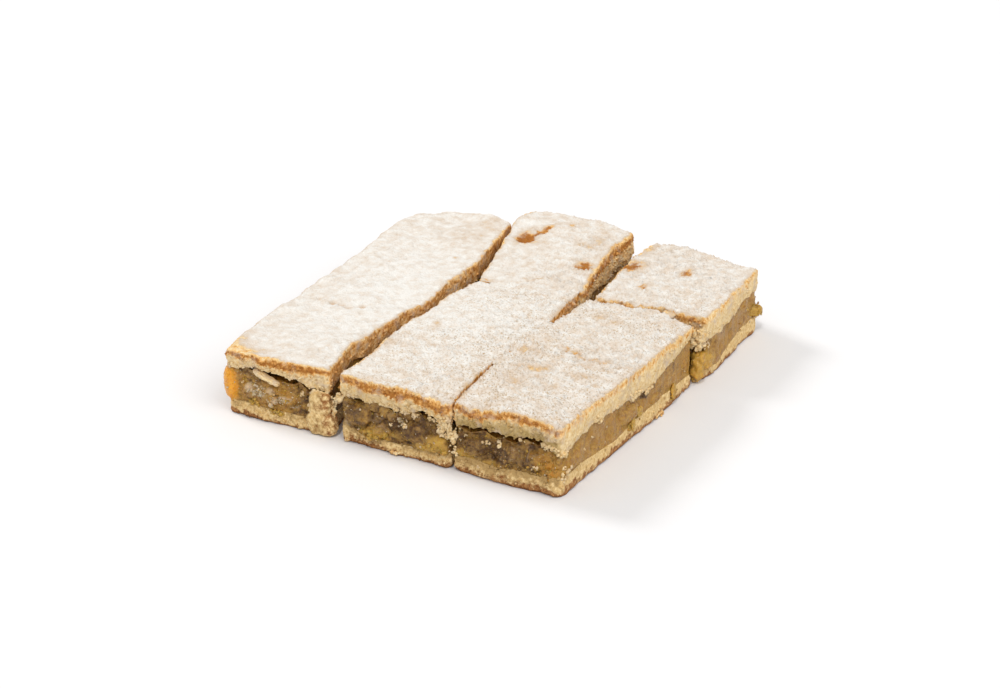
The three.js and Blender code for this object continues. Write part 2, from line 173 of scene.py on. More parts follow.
# A number from 0 to 1 for each whole-number cell: coordinates times primes, mixed by shifts and a product.
def cellNumber(cells, seed):
    mixed = cells.astype(np.int64) * np.array([73856093, 19349663, 83492791])
    mixed = (mixed[:, 0] ^ mixed[:, 1] ^ mixed[:, 2] ^ (seed * 2654435761)) & 0xFFFFFFFF
    for _ in range(2):
        mixed = ((mixed ^ (mixed >> 16)) * 0x45D9F3B) & 0xFFFFFFFF
    return (mixed ^ (mixed >> 16)) / 2**32


# Numbers on a lattice of the given size, blended by 6t^5 - 15t^4 + 10t^3 between its points: from -1 to 1.
def softNoise(points, size, seed):
    place = points / size
    cells = np.floor(place)
    t = place - cells
    t = t * t * t * (t * (t * 6 - 15) + 10)
    total = np.zeros(len(points))
    for corner in range(8):
        step = np.array([corner & 1, corner >> 1 & 1, corner >> 2])
        weight = np.prod(np.where(step == 1, t, 1 - t), axis=1)
        total += weight * cellNumber(cells + step, seed)
    return 2 * total - 1


# Soft noise at halving sizes and halving strengths.
def roughNoise(points, size, seed, octaves=3):
    layers = [softNoise(points, size / 2**k, seed + k) / 2**k for k in range(octaves)]
    return sum(layers) / (2 - 0.5 ** (octaves - 1))


# One point at a random place in each lattice cell: the distances to the nearest and the second, and the
# nearest's own number.
def nearestLumps(points, size, seed):
    place = points / size
    cells = np.floor(place)
    first = np.full(len(points), 9.0)
    second = first.copy()
    number = np.zeros(len(points))
    for step in np.ndindex(3, 3, 3):
        there = cells + np.array(step) - 1
        spot = np.stack([cellNumber(there, seed + k) for k in range(3)], axis=1)
        distance = np.linalg.norm(there + spot - place, axis=1)
        nearer = distance < first
        second = np.where(nearer, first, np.minimum(second, distance))
        number = np.where(nearer, spot[:, 0], number)
        first = np.minimum(first, distance)
    return first, second, number


# A Catmull-Rom curve through the corners at shares from 0 to 1, with its end tangents along the end chords.
def curveThrough(corners, share):
    inner = np.array(corners, float)
    full = np.vstack([2 * inner[0] - inner[1], inner, 2 * inner[-1] - inner[-2]])
    place = np.clip(share, 0, 1) * (len(inner) - 1)
    k = np.minimum(place.astype(int), len(inner) - 2)
    t = (place - k)[:, None]
    start, end = full[k + 1], full[k + 2]
    leave, arrive = (end - full[k]) / 2, (full[k + 3] - start) / 2
    cubic = 2 * start - 2 * end + leave + arrive
    square = 3 * end - 3 * start - 2 * leave - arrive
    return ((cubic * t + square) * t + leave) * t + start


# A slice's plan, ruled between its two side curves, its ends bowed out by 4u(1-u) and its cuts a little
# wavy.
def planPoint(piece, u, v):
    left = curveThrough(piece["leftSide"], v)
    right = curveThrough(piece["rightSide"], v)
    point = blend(left, right, u[:, None])
    belly = 4 * u * (1 - u)
    front, back = piece["bow"]
    point[:, 1] += belly * (back * smooth(0.6, 1, v) - front * (1 - smooth(0, 0.3, v)))
    point[:, 0] += 0.35 * unevenness(point[:, 0], point[:, 1], 17, 12)
    point[:, 1] += 0.35 * unevenness(point[:, 0], point[:, 1], 17, 15)
    return point


# The crust's top: the block's height with slow waves, the slice's lift, its swells and its dents.
def crustTop(piece, x, y):
    height = block["height"] + 0.45 * unevenness(x, y, 38, 5) + 0.25 * unevenness(x, y, 15, 9)
    if "lift" in piece:
        start, end, lift = piece["lift"]
        height = height + lift * smooth(start, end, y)
    return height + sum(swell * hill(x, y, at, (radius, radius)) for at, radius, swell in piece["swells"])


# A layer's mean height with slow waves, going over into the measured heights at the front and right cuts.
def layerHeight(x, y, mean, seed, frontList, rightList):
    height = mean + 0.9 * unevenness(x, y, 31, seed)
    nearFront = 1 - smooth(0, block["faceDepth"], y)
    nearRight = 1 - smooth(0, block["faceDepth"], block["frontWidth"] - x)
    height = blend(height, heightAt(rightList, y), nearRight)
    return blend(height, heightAt(frontList, x), nearFront)


def underLid(x, y):
    return layerHeight(x, y, block["lidUnderside"], 3, frontLidUnderside, rightLidUnderside)


def aboveBase(x, y):
    return layerHeight(x, y, block["baseTop"], 8, frontBaseTop, rightBaseTop)


def hollowDepth(x, y):
    return heightAt(frontHollows, x) * (1 - smooth(2, 8, y))


# A grid over the slice's plan with its corners rounded: in a corner's square, p and q from 0 to 1 towards
# the corner become p*sqrt(1 - q*q/2) and q*sqrt(1 - p*p/2). Gives u, v, the distance to the edge and the
# size.
def planGrid(piece):
    width = piece["rightSide"][0][0] - piece["leftSide"][0][0]
    length = piece["rightSide"][-1][1] - piece["rightSide"][0][1]
    across, along = round(width / block["cell"]), round(length / block["cell"])
    a, b = np.meshgrid(np.linspace(0, width, across + 1), np.linspace(0, length, along + 1), indexing="ij")
    radius = block["cornerRadius"]
    toSide, toEnd = np.minimum(a, width - a), np.minimum(b, length - b)
    p, q = np.clip(1 - toSide / radius, 0, 1), np.clip(1 - toEnd / radius, 0, 1)
    roundP, roundQ = p * np.sqrt(1 - q * q / 2), q * np.sqrt(1 - p * p / 2)
    shiftA, shiftB = radius * (p - roundP), radius * (q - roundQ)
    a = np.where(a < width / 2, a + shiftA, a - shiftA)
    b = np.where(b < length / 2, b + shiftB, b - shiftB)
    inCorner = (p > 0) & (q > 0)
    edge = np.where(inCorner, radius * (1 - np.hypot(roundP, roundQ)), np.minimum(toSide, toEnd))
    inset = block["cutGap"] / 2 + block["gridInset"]
    u = inset / width + a / width * (1 - 2 * inset / width)
    v = inset / length + b / length * (1 - 2 * inset / length)
    return u, v, np.maximum(edge, 0), (width, length)


# The grid's border, counter-clockwise from the front left corner, as positions in the grid.
def borderIndex(size):
    lastU, lastV = size[0] - 1, size[1] - 1
    alongU, alongV = np.arange(lastU), np.arange(lastV)
    i = np.concatenate([alongU, np.full(lastV, lastU), lastU - alongU, 0 * alongV])
    j = np.concatenate([0 * alongU, alongV, np.full(lastU, lastV), lastV - alongV])
    return i, j


# A closed loop's direction at each of its points: the chord between the neighbours two steps away.
def loopDirection(loop):
    chord = np.roll(loop, -2, axis=0) - np.roll(loop, 2, axis=0)
    return chord / np.linalg.norm(chord, axis=1)[:, None]


# The slice's grid in plan, its border, the border's outward directions, and how much each border point is
# on the front, right, back and left: the squares of the outward direction in the slice's own axes.
def sliceFrame(piece):
    u, v, edge, size = planGrid(piece)
    plan = planPoint(piece, u.ravel(), v.ravel()).reshape(*u.shape, 2)
    i, j = borderIndex(u.shape)
    loop = plan[i, j]
    direction = loopDirection(loop)
    outward = np.stack([direction[:, 1], -direction[:, 0]], axis=1)
    own = loopDirection(np.stack([u[i, j] * size[0], v[i, j] * size[1]], axis=1))
    sides = {
        "front": np.maximum(own[:, 0], 0) ** 2,
        "right": np.maximum(own[:, 1], 0) ** 2,
        "back": np.maximum(-own[:, 0], 0) ** 2,
        "left": np.maximum(-own[:, 1], 0) ** 2,
    }
    onTray = sum((sides[side] for side in piece["tray"]), np.zeros(len(loop)))
    return {"slice": piece, "u": u, "v": v, "edge": edge, "size": size, "plan": plan, "border": (i, j),
            "loop": loop, "outward": outward, "sides": sides, "onTray": onTray}


# Insets that go from step to step up a wall. A step is a share of the height with an inset for each column,
# and way gives how far between two steps a row is.
def stepInsets(share, steps, way):
    insets = 0 * share
    for (start, first), (end, last) in zip(steps[:-1], steps[1:]):
        part = (share >= start) & (share <= end)
        insets = np.where(part, blend(first, last, way(start, end, share)), insets)
    return insets


# Rows of points round the slice: the border moved in by each row's insets, at each row's heights.
def wallRows(shape, insets, heights):
    rows = np.concatenate([np.broadcast_to(shape["loop"], (*heights.shape, 2)), heights[..., None]], axis=2)
    return pushOut(shape, rows, block["gridInset"] - insets)


# Moves rows of wall points out by a distance along the border's outward directions.
def pushOut(shape, rows, distance):
    rows = rows.copy()
    rows[..., :2] += distance[..., None] * shape["outward"]
    return rows


# Rows that run inwards from the border under or over a layer, by shrinking the slice's plan.
def inwardRows(shape, distances, heightOf):
    i, j = shape["border"]
    u, v = shape["u"][i, j], shape["v"][i, j]
    rows = []
    for distance in distances:
        a, b = distance / shape["size"][0], distance / shape["size"][1]
        point = planPoint(shape["slice"], a + (1 - 2 * a) * u, b + (1 - 2 * b) * v)
        rows.append(np.column_stack([point, heightOf(point[:, 0], point[:, 1])]))
    return np.stack(rows)


# Quads between rows of equal loops, from the first row to the last, facing out where the rows go up.
def bandFaces(rowStarts, count):
    k = np.arange(count)
    following = (k + 1) % count
    faces = []
    for lower, upper in zip(rowStarts[:-1], rowStarts[1:]):
        faces.append(np.stack([lower + k, lower + following, upper + following, upper + k], axis=1))
    return np.concatenate(faces)


# Triangles from a loop to one middle point, facing up or down.
def fanFaces(loopStart, count, middle, up):
    k = loopStart + np.arange(count)
    following = np.roll(k, -1)
    first, second = (k, following) if up else (following, k)
    return np.stack([first, second, np.full(count, middle)], axis=1)


# A wall closed by rows that run inwards over its top and under its foot, each to a middle point.
def closeWall(wall, over, under, lowest):
    count = wall.shape[1]
    points = np.concatenate([wall.reshape(-1, 3), over.reshape(-1, 3), under.reshape(-1, 3),
                             [over[-1].mean(axis=0), lowest]])
    starts = [k * count for k in range(len(wall) + len(over) + len(under))]
    upwards, downwards = starts[1:len(wall) + len(over)], [0, *starts[len(wall) + len(over):]]
    quads = bandFaces([*downwards[::-1], *upwards], count)
    triangles = np.concatenate([fanFaces(upwards[-1], count, len(points) - 2, True),
                                fanFaces(downwards[-1], count, len(points) - 1, False)])
    return points, quads, triangles


# One mesh object from points in the pie's millimetres, quads, triangles and one number a point for each
# mask.
def putInMesh(name, points, quads, triangles, masks, material, replaced=()):
    metres = (points - np.array([*block["middle"], 0])) / 1000
    mesh = bpy.data.meshes.new(name)
    corners = np.concatenate([quads.ravel(), triangles.ravel()]).astype(np.int32)
    starts = np.concatenate([np.arange(len(quads)) * 4, len(quads) * 4 + np.arange(len(triangles)) * 3])
    mesh.vertices.add(len(metres))
    mesh.vertices.foreach_set("co", metres.ravel())
    mesh.loops.add(len(corners))
    mesh.loops.foreach_set("vertex_index", corners)
    mesh.polygons.add(len(starts))
    mesh.polygons.foreach_set("loop_start", starts.astype(np.int32))
    mesh.polygons.foreach_set("use_smooth", np.ones(len(starts), bool))
    for mask, values in masks.items():
        mesh.attributes.new(mask, "FLOAT", "POINT").data.foreach_set("value", values.astype(np.float32))
    mesh.update(calc_edges=True)
    mesh.materials.append(material)
    made = bpy.data.objects.new(name, mesh)
    bpy.context.scene.collection.objects.link(made)
    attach(made, "root")
    if replaced:
        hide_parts(*replaced)
    return made


# An sRGB hex colour as linear red, green, blue and 1.
def linearColour(hexColour):
    parts = [int(hexColour[k:k + 2], 16) / 255 for k in (1, 3, 5)]
    return (*[p / 12.92 if p <= 0.04045 else ((p + 0.055) / 1.055) ** 2.4 for p in parts], 1)


# Adds a node and gives one of its outputs. Each setting goes to the node itself or to the socket of that
# name or number, where an output is linked, a hex colour is made linear and any other value is set.
def addNode(material, kind, settings, output=0):
    tree = material.node_tree
    node = tree.nodes.new("ShaderNode" + kind)
    for key, value in settings.items():
        if isinstance(key, str) and hasattr(node, key):
            setattr(node, key, value)
        elif isinstance(value, bpy.types.NodeSocket):
            tree.links.new(value, node.inputs[key])
        else:
            node.inputs[key].default_value = linearColour(value) if isinstance(value, str) else value
    return node.outputs[output] if node.outputs else None


def newMaterial(name):
    material = bpy.data.materials.new(name)
    material.use_nodes = True
    material.node_tree.nodes.clear()
    return material


# A new material with an attribute for each mask, and a noise for each pattern. A pattern's feature size
# is in millimetres, and its detail and roughness follow.
def patternedMaterial(name, maskNames, patterns):
    material = newMaterial(name)
    place = addNode(material, "TexCoord", {}, "Object")
    masks = {mask: addNode(material, "Attribute", {"attribute_name": mask}, "Fac") for mask in maskNames}
    noises = {
        pattern: addNode(material, "TexNoise", {"Vector": place, "Scale": 1000 / size, "Detail": detail,
                                                "Roughness": roughness})
        for pattern, (size, detail, roughness) in patterns.items()
    }
    return material, masks, noises


colourMix = {"data_type": "RGBA"}
smoothStep = {"interpolation_type": "SMOOTHSTEP"}
multiplyAdd = {"operation": "MULTIPLY_ADD"}

# Shortcrust baked in a tray and dusted with icing sugar: a matt, floury crumb that is pale where it broke
# and amber where the oven browned it, under a white powder whose grains cast tiny shadows, partly from its
# relief and partly as painted shade in the hollows between them.
crustLook = {
    "crumbPale": "#F0DAAE",
    "crumbDeep": "#D3AE72",
    "browned": "#F6C276",
    "brownedDeep": "#BA7D3A",
    "scorched": "#A0652F",
    "soaked": "#AD9158",
    "sugar": "#E7E3DC",
    "sugarThin": "#CEB9A2",
    "sugarWarm": "#CDB294",
    # The hollow colour is painted shade: the tiny shadows in the hollows between the sugar's grains.
    "hollow": "#BDA585",
    "patterns": {"crumb": (1.3, 4.0, 0.62), "grain": (0.85, 2.0, 0.55), "drift": (5.0, 3.0, 0.55),
                 "blotch": (2.6, 3.0, 0.6), "hollow": (0.9, 1.0, 0.5)},
}
crustMasks = ("sugar", "browning", "soaking", "grainShadeAndWarmth")


def makeCrustMaterial():
    look = crustLook
    material, masks, noises = patternedMaterial("icing_sugared_shortcrust", crustMasks, look["patterns"])
    crumb, grain, browning, grainShadeAndWarmth = noises["crumb"], noises["grain"], masks["browning"], masks["grainShadeAndWarmth"]
    crumbShade = addNode(material, "MapRange", {"Value": crumb, "From Min": 0.35, "From Max": 0.68})
    pale = addNode(material, "Mix", {**colourMix, 0: crumbShade, 6: look["crumbPale"],
                                     7: look["crumbDeep"]}, 2)
    pale = addNode(material, "Mix", {**colourMix, 0: masks["soaking"], 6: pale, 7: look["soaked"]}, 2)
    # The browned crust: mottled by crumb and blotches, and scorched where it is brownest.
    blotch = addNode(material, "MapRange", {"Value": noises["blotch"], "From Min": 0.36, "From Max": 0.66})
    mottled = addNode(material, "Mix", {"data_type": "FLOAT", 0: 0.55, 2: crumbShade, 3: blotch})
    toasted = addNode(material, "Math", {**multiplyAdd, 0: browning, 1: 1.2, 2: -0.88})
    toasted = addNode(material, "Math", {"operation": "ADD", "use_clamp": True, 0: toasted, 1: mottled})
    brown = addNode(material, "Mix", {**colourMix, 0: toasted, 6: look["browned"],
                                      7: look["brownedDeep"]}, 2)
    scorching = addNode(material, "Math", {**multiplyAdd, 0: mottled, 1: 0.9, 2: browning})
    scorching = addNode(material, "MapRange", {**smoothStep, "Value": scorching, "From Min": 1.1,
                                               "From Max": 2.2})
    brown = addNode(material, "Mix", {**colourMix, 0: scorching, 6: brown, 7: look["scorched"]}, 2)
    uneven = addNode(material, "Math", {**multiplyAdd, 0: mottled, 1: 0.6, 2: -0.3})
    uneven = addNode(material, "Math", {"operation": "ADD", 0: uneven, 1: browning})
    browned = addNode(material, "MapRange", {**smoothStep, "Value": uneven, "From Min": 0.15,
                                             "From Max": 0.85})
    crust = addNode(material, "Mix", {**colourMix, 0: browned, 6: pale, 7: brown}, 2)
    # The sugar: how much of the crust it covers, its tone where it is thin, and the hollows in it, darkened
    # with painted shade.
    grains = addNode(material, "Math", {**multiplyAdd, 0: grain, 1: 0.25, 2: -0.125})
    drifts = addNode(material, "Math", {**multiplyAdd, 0: noises["drift"], 1: 1.3, 2: -0.65})
    ragged = addNode(material, "Math", {"operation": "ADD", 0: grains, 1: drifts})
    ragged = addNode(material, "Math", {"operation": "ADD", 0: ragged, 1: masks["sugar"]})
    cover = addNode(material, "MapRange", {**smoothStep, "Value": ragged, "From Min": -0.05,
                                           "From Max": 0.4})
    thin = addNode(material, "MapRange", {"Value": ragged, "From Min": 0.95, "From Max": 0.2})
    # One mask warms the thin sugar's tone and sets how strongly the painted shade in the hollows shows.
    warmth = addNode(material, "MapRange", {"Value": grainShadeAndWarmth, "From Min": 0.1, "From Max": 0.55})
    thinTone = addNode(material, "Mix", {**colourMix, 0: warmth, 6: look["sugarThin"],
                                         7: look["sugarWarm"]}, 2)
    powder = addNode(material, "Mix", {**colourMix, 0: thin, 6: look["sugar"], 7: thinTone}, 2)
    # Painted shade: small spots of the powder are darkened towards the hollow colour.
    hollow = addNode(material, "MapRange", {**smoothStep, "Value": noises["hollow"], "From Min": 0.51,
                                            "From Max": 0.72})
    hollow = addNode(material, "Math", {"operation": "MULTIPLY", 0: hollow, 1: grainShadeAndWarmth})
    powder = addNode(material, "Mix", {**colourMix, 0: hollow, 6: powder, 7: look["hollow"]}, 2)
    colour = addNode(material, "Mix", {**colourMix, 0: cover, 6: crust, 7: powder}, 2)
    crumbBump = addNode(material, "Bump", {"Height": crumb, "Strength": 1.0, "Distance": 0.0004})
    grainBump = addNode(material, "Bump", {"Height": grain, "Normal": crumbBump, "Strength": 1.0,
                                           "Distance": 0.0005})
    shader = addNode(material, "BsdfPrincipled", {"Base Color": colour, "Normal": grainBump,
                                                  "Roughness": 0.95, "IOR": 1.45, "Specular IOR Level": 0.15})
    addNode(material, "OutputMaterial", {"Surface": shader})
    return material


# Apple cooked to a soft mush with firmer pieces in it: wet, half clear, brown where it is thick and
# yellow or grey where a piece lets light in, with small sharp glints on its juice. Its deepest brown is also
# painted shade in sunk places, holes and under the lid, and its pale tone also painted glints.
appleLook = {
    "mush": "#BA8F43",
    # The deep mush colour is the thick apple's own brown and also painted shade.
    "mushDeepAndShade": "#54360B",
    "orange": "#E8A22E",
    "yellow": "#BE9740",
    "grey": "#9C815C",
    "light": "#AA7E34",
    # The pale colour is pale bits of apple and also painted glints on the wet juice.
    "pearl": "#D2BB9A",
    "thick": "#C59247",
    "patterns": {"pulp": (1.5, 4.0, 0.6), "fibre": (0.55, 2.0, 0.6)},
}
appleMasks = ("dark", "light", "orange", "yellow", "grey", "pearl")


def makeAppleMaterial():
    look = appleLook
    material, masks, noises = patternedMaterial("cooked_apple", appleMasks, look["patterns"])
    pulp, fibre = noises["pulp"], noises["fibre"]
    shade = addNode(material, "MapRange", {"Value": pulp, "From Min": 0.32, "From Max": 0.7, "To Max": 0.55})
    # The deep tone mask darkens towards the deep mush colour: the apple's own deeper brown and painted shade.
    depth = addNode(material, "Math", {"operation": "ADD", "use_clamp": True, 0: shade, 1: masks["dark"]})
    colour = addNode(material, "Mix", {**colourMix, 0: depth, 6: look["mush"], 7: look["mushDeepAndShade"]}, 2)
    uneven = addNode(material, "Math", {**multiplyAdd, 0: pulp, 1: 0.5, 2: -0.25})
    for tint in appleMasks[1:]:
        amount = addNode(material, "Math", {"operation": "ADD", 0: uneven, 1: masks[tint]})
        amount = addNode(material, "MapRange", {**smoothStep, "Value": amount, "From Min": 0.12,
                                                "From Max": 0.8})
        colour = addNode(material, "Mix", {**colourMix, 0: amount, 6: colour, 7: look[tint]}, 2)
    thick = addNode(material, "MapRange", {"Value": pulp, "From Min": 0.45, "From Max": 0.75, "To Max": 0.6})
    colour = addNode(material, "Mix", {**colourMix, "blend_type": "MULTIPLY", 0: thick, 6: colour,
                                       7: look["thick"]}, 2)
    wet = addNode(material, "MapRange", {"Value": fibre, "From Min": 0.35, "From Max": 0.65, "To Min": 0.18,
                                         "To Max": 0.55})
    pulpBump = addNode(material, "Bump", {"Height": pulp, "Strength": 1.0, "Distance": 0.0006})
    fibreBump = addNode(material, "Bump", {"Height": fibre, "Normal": pulpBump, "Strength": 0.9,
                                           "Distance": 0.0003})
    shader = addNode(material, "BsdfPrincipled", {
        "Base Color": colour, "Roughness": wet, "Normal": fibreBump, "IOR": 1.36, "Specular IOR Level": 0.4,
        "Subsurface Weight": 0.3, "Subsurface Scale": 0.002, "Subsurface Radius": (1.0, 0.6, 0.25),
        "Coat Weight": 0.35, "Coat Roughness": 0.07, "Coat Normal": fibreBump})
    addNode(material, "OutputMaterial", {"Surface": shader})
    return material


# The lower sheet of shortcrust: matt and crumbly, pale inside, soaked by juice at its top and browned
# where it lay on the tray, darkest along its foot, which is partly its browning and partly painted contact
# shade where it meets the floor.
baseLook = {
    "pale": "#EED29C",
    "deep": "#C8A060",
    "browned": "#BD8852",
    "brownedDeep": "#7C4C24",
    "soaked": "#B89762",
    "patterns": {"crumb": (1.3, 4.0, 0.62), "drift": (2.6, 3.0, 0.6)},
}


def makeBaseMaterial():
    look = baseLook
    material, masks, noises = patternedMaterial("baked_shortcrust", ("browning", "soaking"), look["patterns"])
    shade = addNode(material, "MapRange", {"Value": noises["crumb"], "From Min": 0.35, "From Max": 0.68})
    colour = addNode(material, "Mix", {**colourMix, 0: shade, 6: look["pale"], 7: look["deep"]}, 2)
    # Browning over 0.9 deepens the brown: along the foot, partly painted contact shade.
    deep = addNode(material, "MapRange", {"Value": masks["browning"], "From Min": 0.9, "From Max": 1.5,
                                          "To Max": 0.6})
    deep = addNode(material, "Math", {"operation": "ADD", "use_clamp": True, 0: deep, 1: shade})
    brown = addNode(material, "Mix", {**colourMix, 0: deep, 6: look["browned"], 7: look["brownedDeep"]}, 2)
    uneven = addNode(material, "Math", {**multiplyAdd, 0: noises["drift"], 1: 2.0, 2: -1.0})
    for amount, tone in ((masks["soaking"], look["soaked"]), (masks["browning"], brown)):
        share = addNode(material, "Math", {"operation": "ADD", 0: uneven, 1: amount})
        share = addNode(material, "MapRange", {**smoothStep, "Value": share, "From Min": 0.2,
                                               "From Max": 0.8})
        colour = addNode(material, "Mix", {**colourMix, 0: share, 6: colour, 7: tone}, 2)
    bump = addNode(material, "Bump", {"Height": noises["crumb"], "Strength": 1.0, "Distance": 0.0007})
    shader = addNode(material, "BsdfPrincipled", {"Base Color": colour, "Normal": bump, "Roughness": 0.88,
                                                  "IOR": 1.45, "Specular IOR Level": 0.3})
    addNode(material, "OutputMaterial", {"Surface": shader})
    return material


# Where the sugar is worn or was blown off: place, half sizes, turn in degrees, how bare it is and how
# toasted.
barePatches = [
    ((46.4, 178.0), (5.8, 7.8), 12, 1.1, 1),
    ((50.0, 187.4), (2.6, 9.0), -14, 1.0, 0.9),
    ((89.0, 158.0), (5.0, 4.8), 30, 1.05, 0.9),
    ((77.0, 181.0), (5.5, 2.0), -20, 0.3, 0),
    ((81.0, 186.5), (2.2, 4.6), 20, 0.3, 0),
    ((60.3, 199.4), (2.2, 2.6), 0, 0.75, 0.5),
    ((54.2, 125.4), (3.0, 1.5), 20, 0.9, 0.3),
    ((106.4, 173.4), (5.0, 7.0), 0, 0.95, 1.1),
    ((103.0, 198.0), (3.2, 8.0), 0, 0.45, 0.2),
    ((131.8, 178.0), (2.8, 4.4), 0, 0.85, 0.7),
    ((122.5, 151.2), (2.6, 3.0), 0, 0.75, 0.6),
    ((64.8, 64.9), (2.2, 3.2), 20, 0.6, 0),
    ((77.2, 46.5), (4.6, 1.8), 12, 0.4, 0),
    ((57.8, 39.1), (3.4, 3.6), 0, 0.35, 0),
    ((122.5, 33.3), (3.4, 2.2), 0, 0.4, 0),
    ((110.4, 62.3), (5.4, 3.2), 10, 0.48, 0.2),
    ((125.9, 45.4), (5.0, 2.8), 20, 0.52, 0.25),
    ((139.0, 34.4), (4.5, 4.0), 0, 0.28, 0),
    ((143.9, 47.5), (3.6, 2.6), 0, 0.44, 0.2),
    ((141.6, 58.9), (2.6, 1.8), 0, 0.3, 0),
    ((153.1, 43.7), (2.8, 2.2), 0, 0.46, 0.25),
    ((154.1, 36.5), (3.0, 2.6), 0, 0.2, 0),
    ((121.5, 109.0), (6.4, 2.6), -8, 0.3, 0),
    ((131.1, 106.6), (4.0, 3.0), 0, 0.26, 0),
    ((149.3, 55.6), (4.5, 5.5), 0, 0.1, 0),
    ((5.0, 3.4), (13.0, 4.2), 6, 0.8, 0),
    ((0.0, 9.0), (3.6, 8.0), 10, 0.7, 0),
    ((28.1, 141.9), (1.5, 1.8), 0, 0.7, 0),
    ((33.0, 172.5), (2.0, 2.6), 0, 0.6, 0),
    ((16.0, 172.0), (13.0, 18.0), 0, 0.26, 0),
    ((20.0, 190.0), (9.0, 9.0), 0, 0.3, 0),
]
# How thickly the sugar lies: a share everywhere, and more on heaps with a middle and half sizes.
dusting = {
    "everywhere": 0.68,
    "heaps": [((78, 78), (34, 62), 0.2), ((8, 140), (30, 56), 0.12), ((26, 40), (28, 34), 0.12),
              ((24, 92), (22, 36), 0.14), ((150, 62), (16, 50), 0.12), ((140, 160), (26, 30), 0.06)],
}
# Where the crust under the sugar is crumbly.
crumbledPatches = [
    ((80, 184), (8, 9), 0, 1),
    ((60, 42), (9, 9), 0, 1),
    ((112, 66), (8, 9), 0, 1),
    ((120, 40), (10, 14), 0, 1),
    ((146, 66), (14, 16), 0, 1),
    ((88, 138), (12, 5), 0, 1),
]
# The marks of a fork's four tines, pressed into two slices.
forkPricks = {
    "places": [(126.6, 69.6), (131.7, 68.9), (137.8, 67), (144.9, 66.6), (2.5, 67.2), (10.8, 64.4),
               (14.8, 65.2), (19.4, 63.8), (24.1, 67.8)],
    "half": (1.5, 1.4),
    "depth": 2.2,
    "lines": [[(124.8, 71.2), (131.7, 68.9), (137.8, 67), (146.4, 67)], [(10.0, 64.6), (20.4, 64)]],
    "width": 1.1,
}
# Low ridges where the sugar has cracked over the join between the two middle slices.
sugarRidges = {
    "lines": [[(70, 133.5), (73.8, 131.6), (80.4, 137.0), (89.8, 138.7)],
              [(76, 113), (79.3, 114.3), (89.5, 120.2)]],
    "width": 0.8,
    "height": 0.6,
}


# How far inside an ellipse a plan point is: 1 in its middle, falling as exp of minus the squared distance.
def insideEllipse(x, y, patch):
    (atX, atY), (halfX, halfY), turn = patch[:3]
    a, b = turned(x - atX, y - atY, math.radians(turn))
    return np.exp(-(((a / halfX) ** 2 + (b / halfY) ** 2) ** 1.15))


# Distance from plan points to a line through the listed points.
def distanceToLine(x, y, line):
    nearest = np.full(x.shape, 1e3)
    for (x0, y0), (x1, y1) in zip(line[:-1], line[1:]):
        along = ((x - x0) * (x1 - x0) + (y - y0) * (y1 - y0)) / ((x1 - x0) ** 2 + (y1 - y0) ** 2)
        along = np.clip(along, 0, 1)
        nearest = np.minimum(nearest, np.hypot(x - blend(x0, x1, along), y - blend(y0, y1, along)))
    return nearest


# How near plan points are to a line: 1 on it, falling as exp of minus the squared distance over the reach.
def nearLine(x, y, line, reach):
    return np.exp(-((distanceToLine(x, y, line) / reach) ** 2))


# Plan points as rows of x, y and the block's height, to read a noise at.
def planRows(x, y):
    return np.column_stack([x.ravel(), y.ravel(), np.full(x.size, block["height"])])


# Rough noise of a size over the plan, in the shape of its arrays.
def planNoise(x, y, size, seed):
    return roughNoise(planRows(x, y), size, seed).reshape(x.shape)


# Broken shortcrust: crumbs as rounded lumps round random points, some of them fallen out, and a slow wave.
def crumbRelief(points, seed):
    near, _, number = nearestLumps(points, 1.8, seed)
    large, _, _ = nearestLumps(points, 4.2, seed + 20)
    relief = 0.8 * (0.55 - near) + 0.8 * (0.5 - large) + 0.16 * softNoise(points, 0.9, seed + 5)
    return relief - np.where(number > 0.84, 0.9 * smooth(0.65, 0.2, near), 0)


# How each cut face broke: depth of the crumb relief, height of the browned band under the sugar, how
# brown the whole face is and how strong the band. A cut that opened in the oven is brown all over; a
# knife's is smooth.
cutFaces = {
    "left_strip": {"front": (1.15, 3.2, 0.05, 1.08), "right": (0.3, 3.0, 0.7, 0.85),
                   "back": (0.6, 4, 0.9, 1), "left": (0.5, 4, 0.9, 1)},
    "middle_front": {"front": (1.25, 4.6, 0.05, 1), "right": (0.6, 3.0, 0.65, 1),
                     "back": (0.8, 3, 0.3, 1), "left": (0.6, 5.0, 1.1, 1)},
    "middle_back": {"front": (0.8, 3, 0.3, 1), "right": (1.0, 4.4, 0.42, 1.1),
                    "back": (0.6, 5, 0.9, 1), "left": (0.6, 5.0, 1.1, 1)},
    "right_front": {"front": (1.25, 3.7, 0.05, 1.1), "right": (0.28, 2.5, 0.0, 0.7),
                    "back": (0.8, 3.0, 0.9, 1), "left": (0.8, 3.0, 0.7, 1)},
    "right_back": {"front": (0.7, 3.6, 0.4, 0.9), "right": (0.3, 2.0, 0.0, 0.55),
                   "back": (0.6, 5, 0.9, 1), "left": (0.7, 4.0, 0.6, 1)},
}
# Joins between slices that the crust's sugar still bridges: the slices on both sides, whether it runs
# across or along the pie, the shares of the way where it starts and ends, and its height over the tops.
bridgedSeams = {
    "middle_bridge": (1, 2, "across", 0.13, 0.97, 0.05),
    "front_bridge": (1, 3, "along", 0.36, 0.72, 0.05),
    "right_bridge": (3, 4, "across", 0.645, 0.76, -0.5),
}


# Points along the middle of a join, and half the gap there.
def seamLine(first, second, kind, start, end, count=25):
    share = np.linspace(start, end, count)
    low, high = np.zeros(count), np.ones(count)
    if kind == "across":
        a, b = planPoint(slices[first], share, high), planPoint(slices[second], share, low)
    else:
        a, b = planPoint(slices[first], high, share), planPoint(slices[second], low, share)
    return (a + b) / 2, np.hypot(*(a - b).T) / 2


seamLines = {name: seamLine(*seam[:5])[0] for name, seam in bridgedSeams.items()}
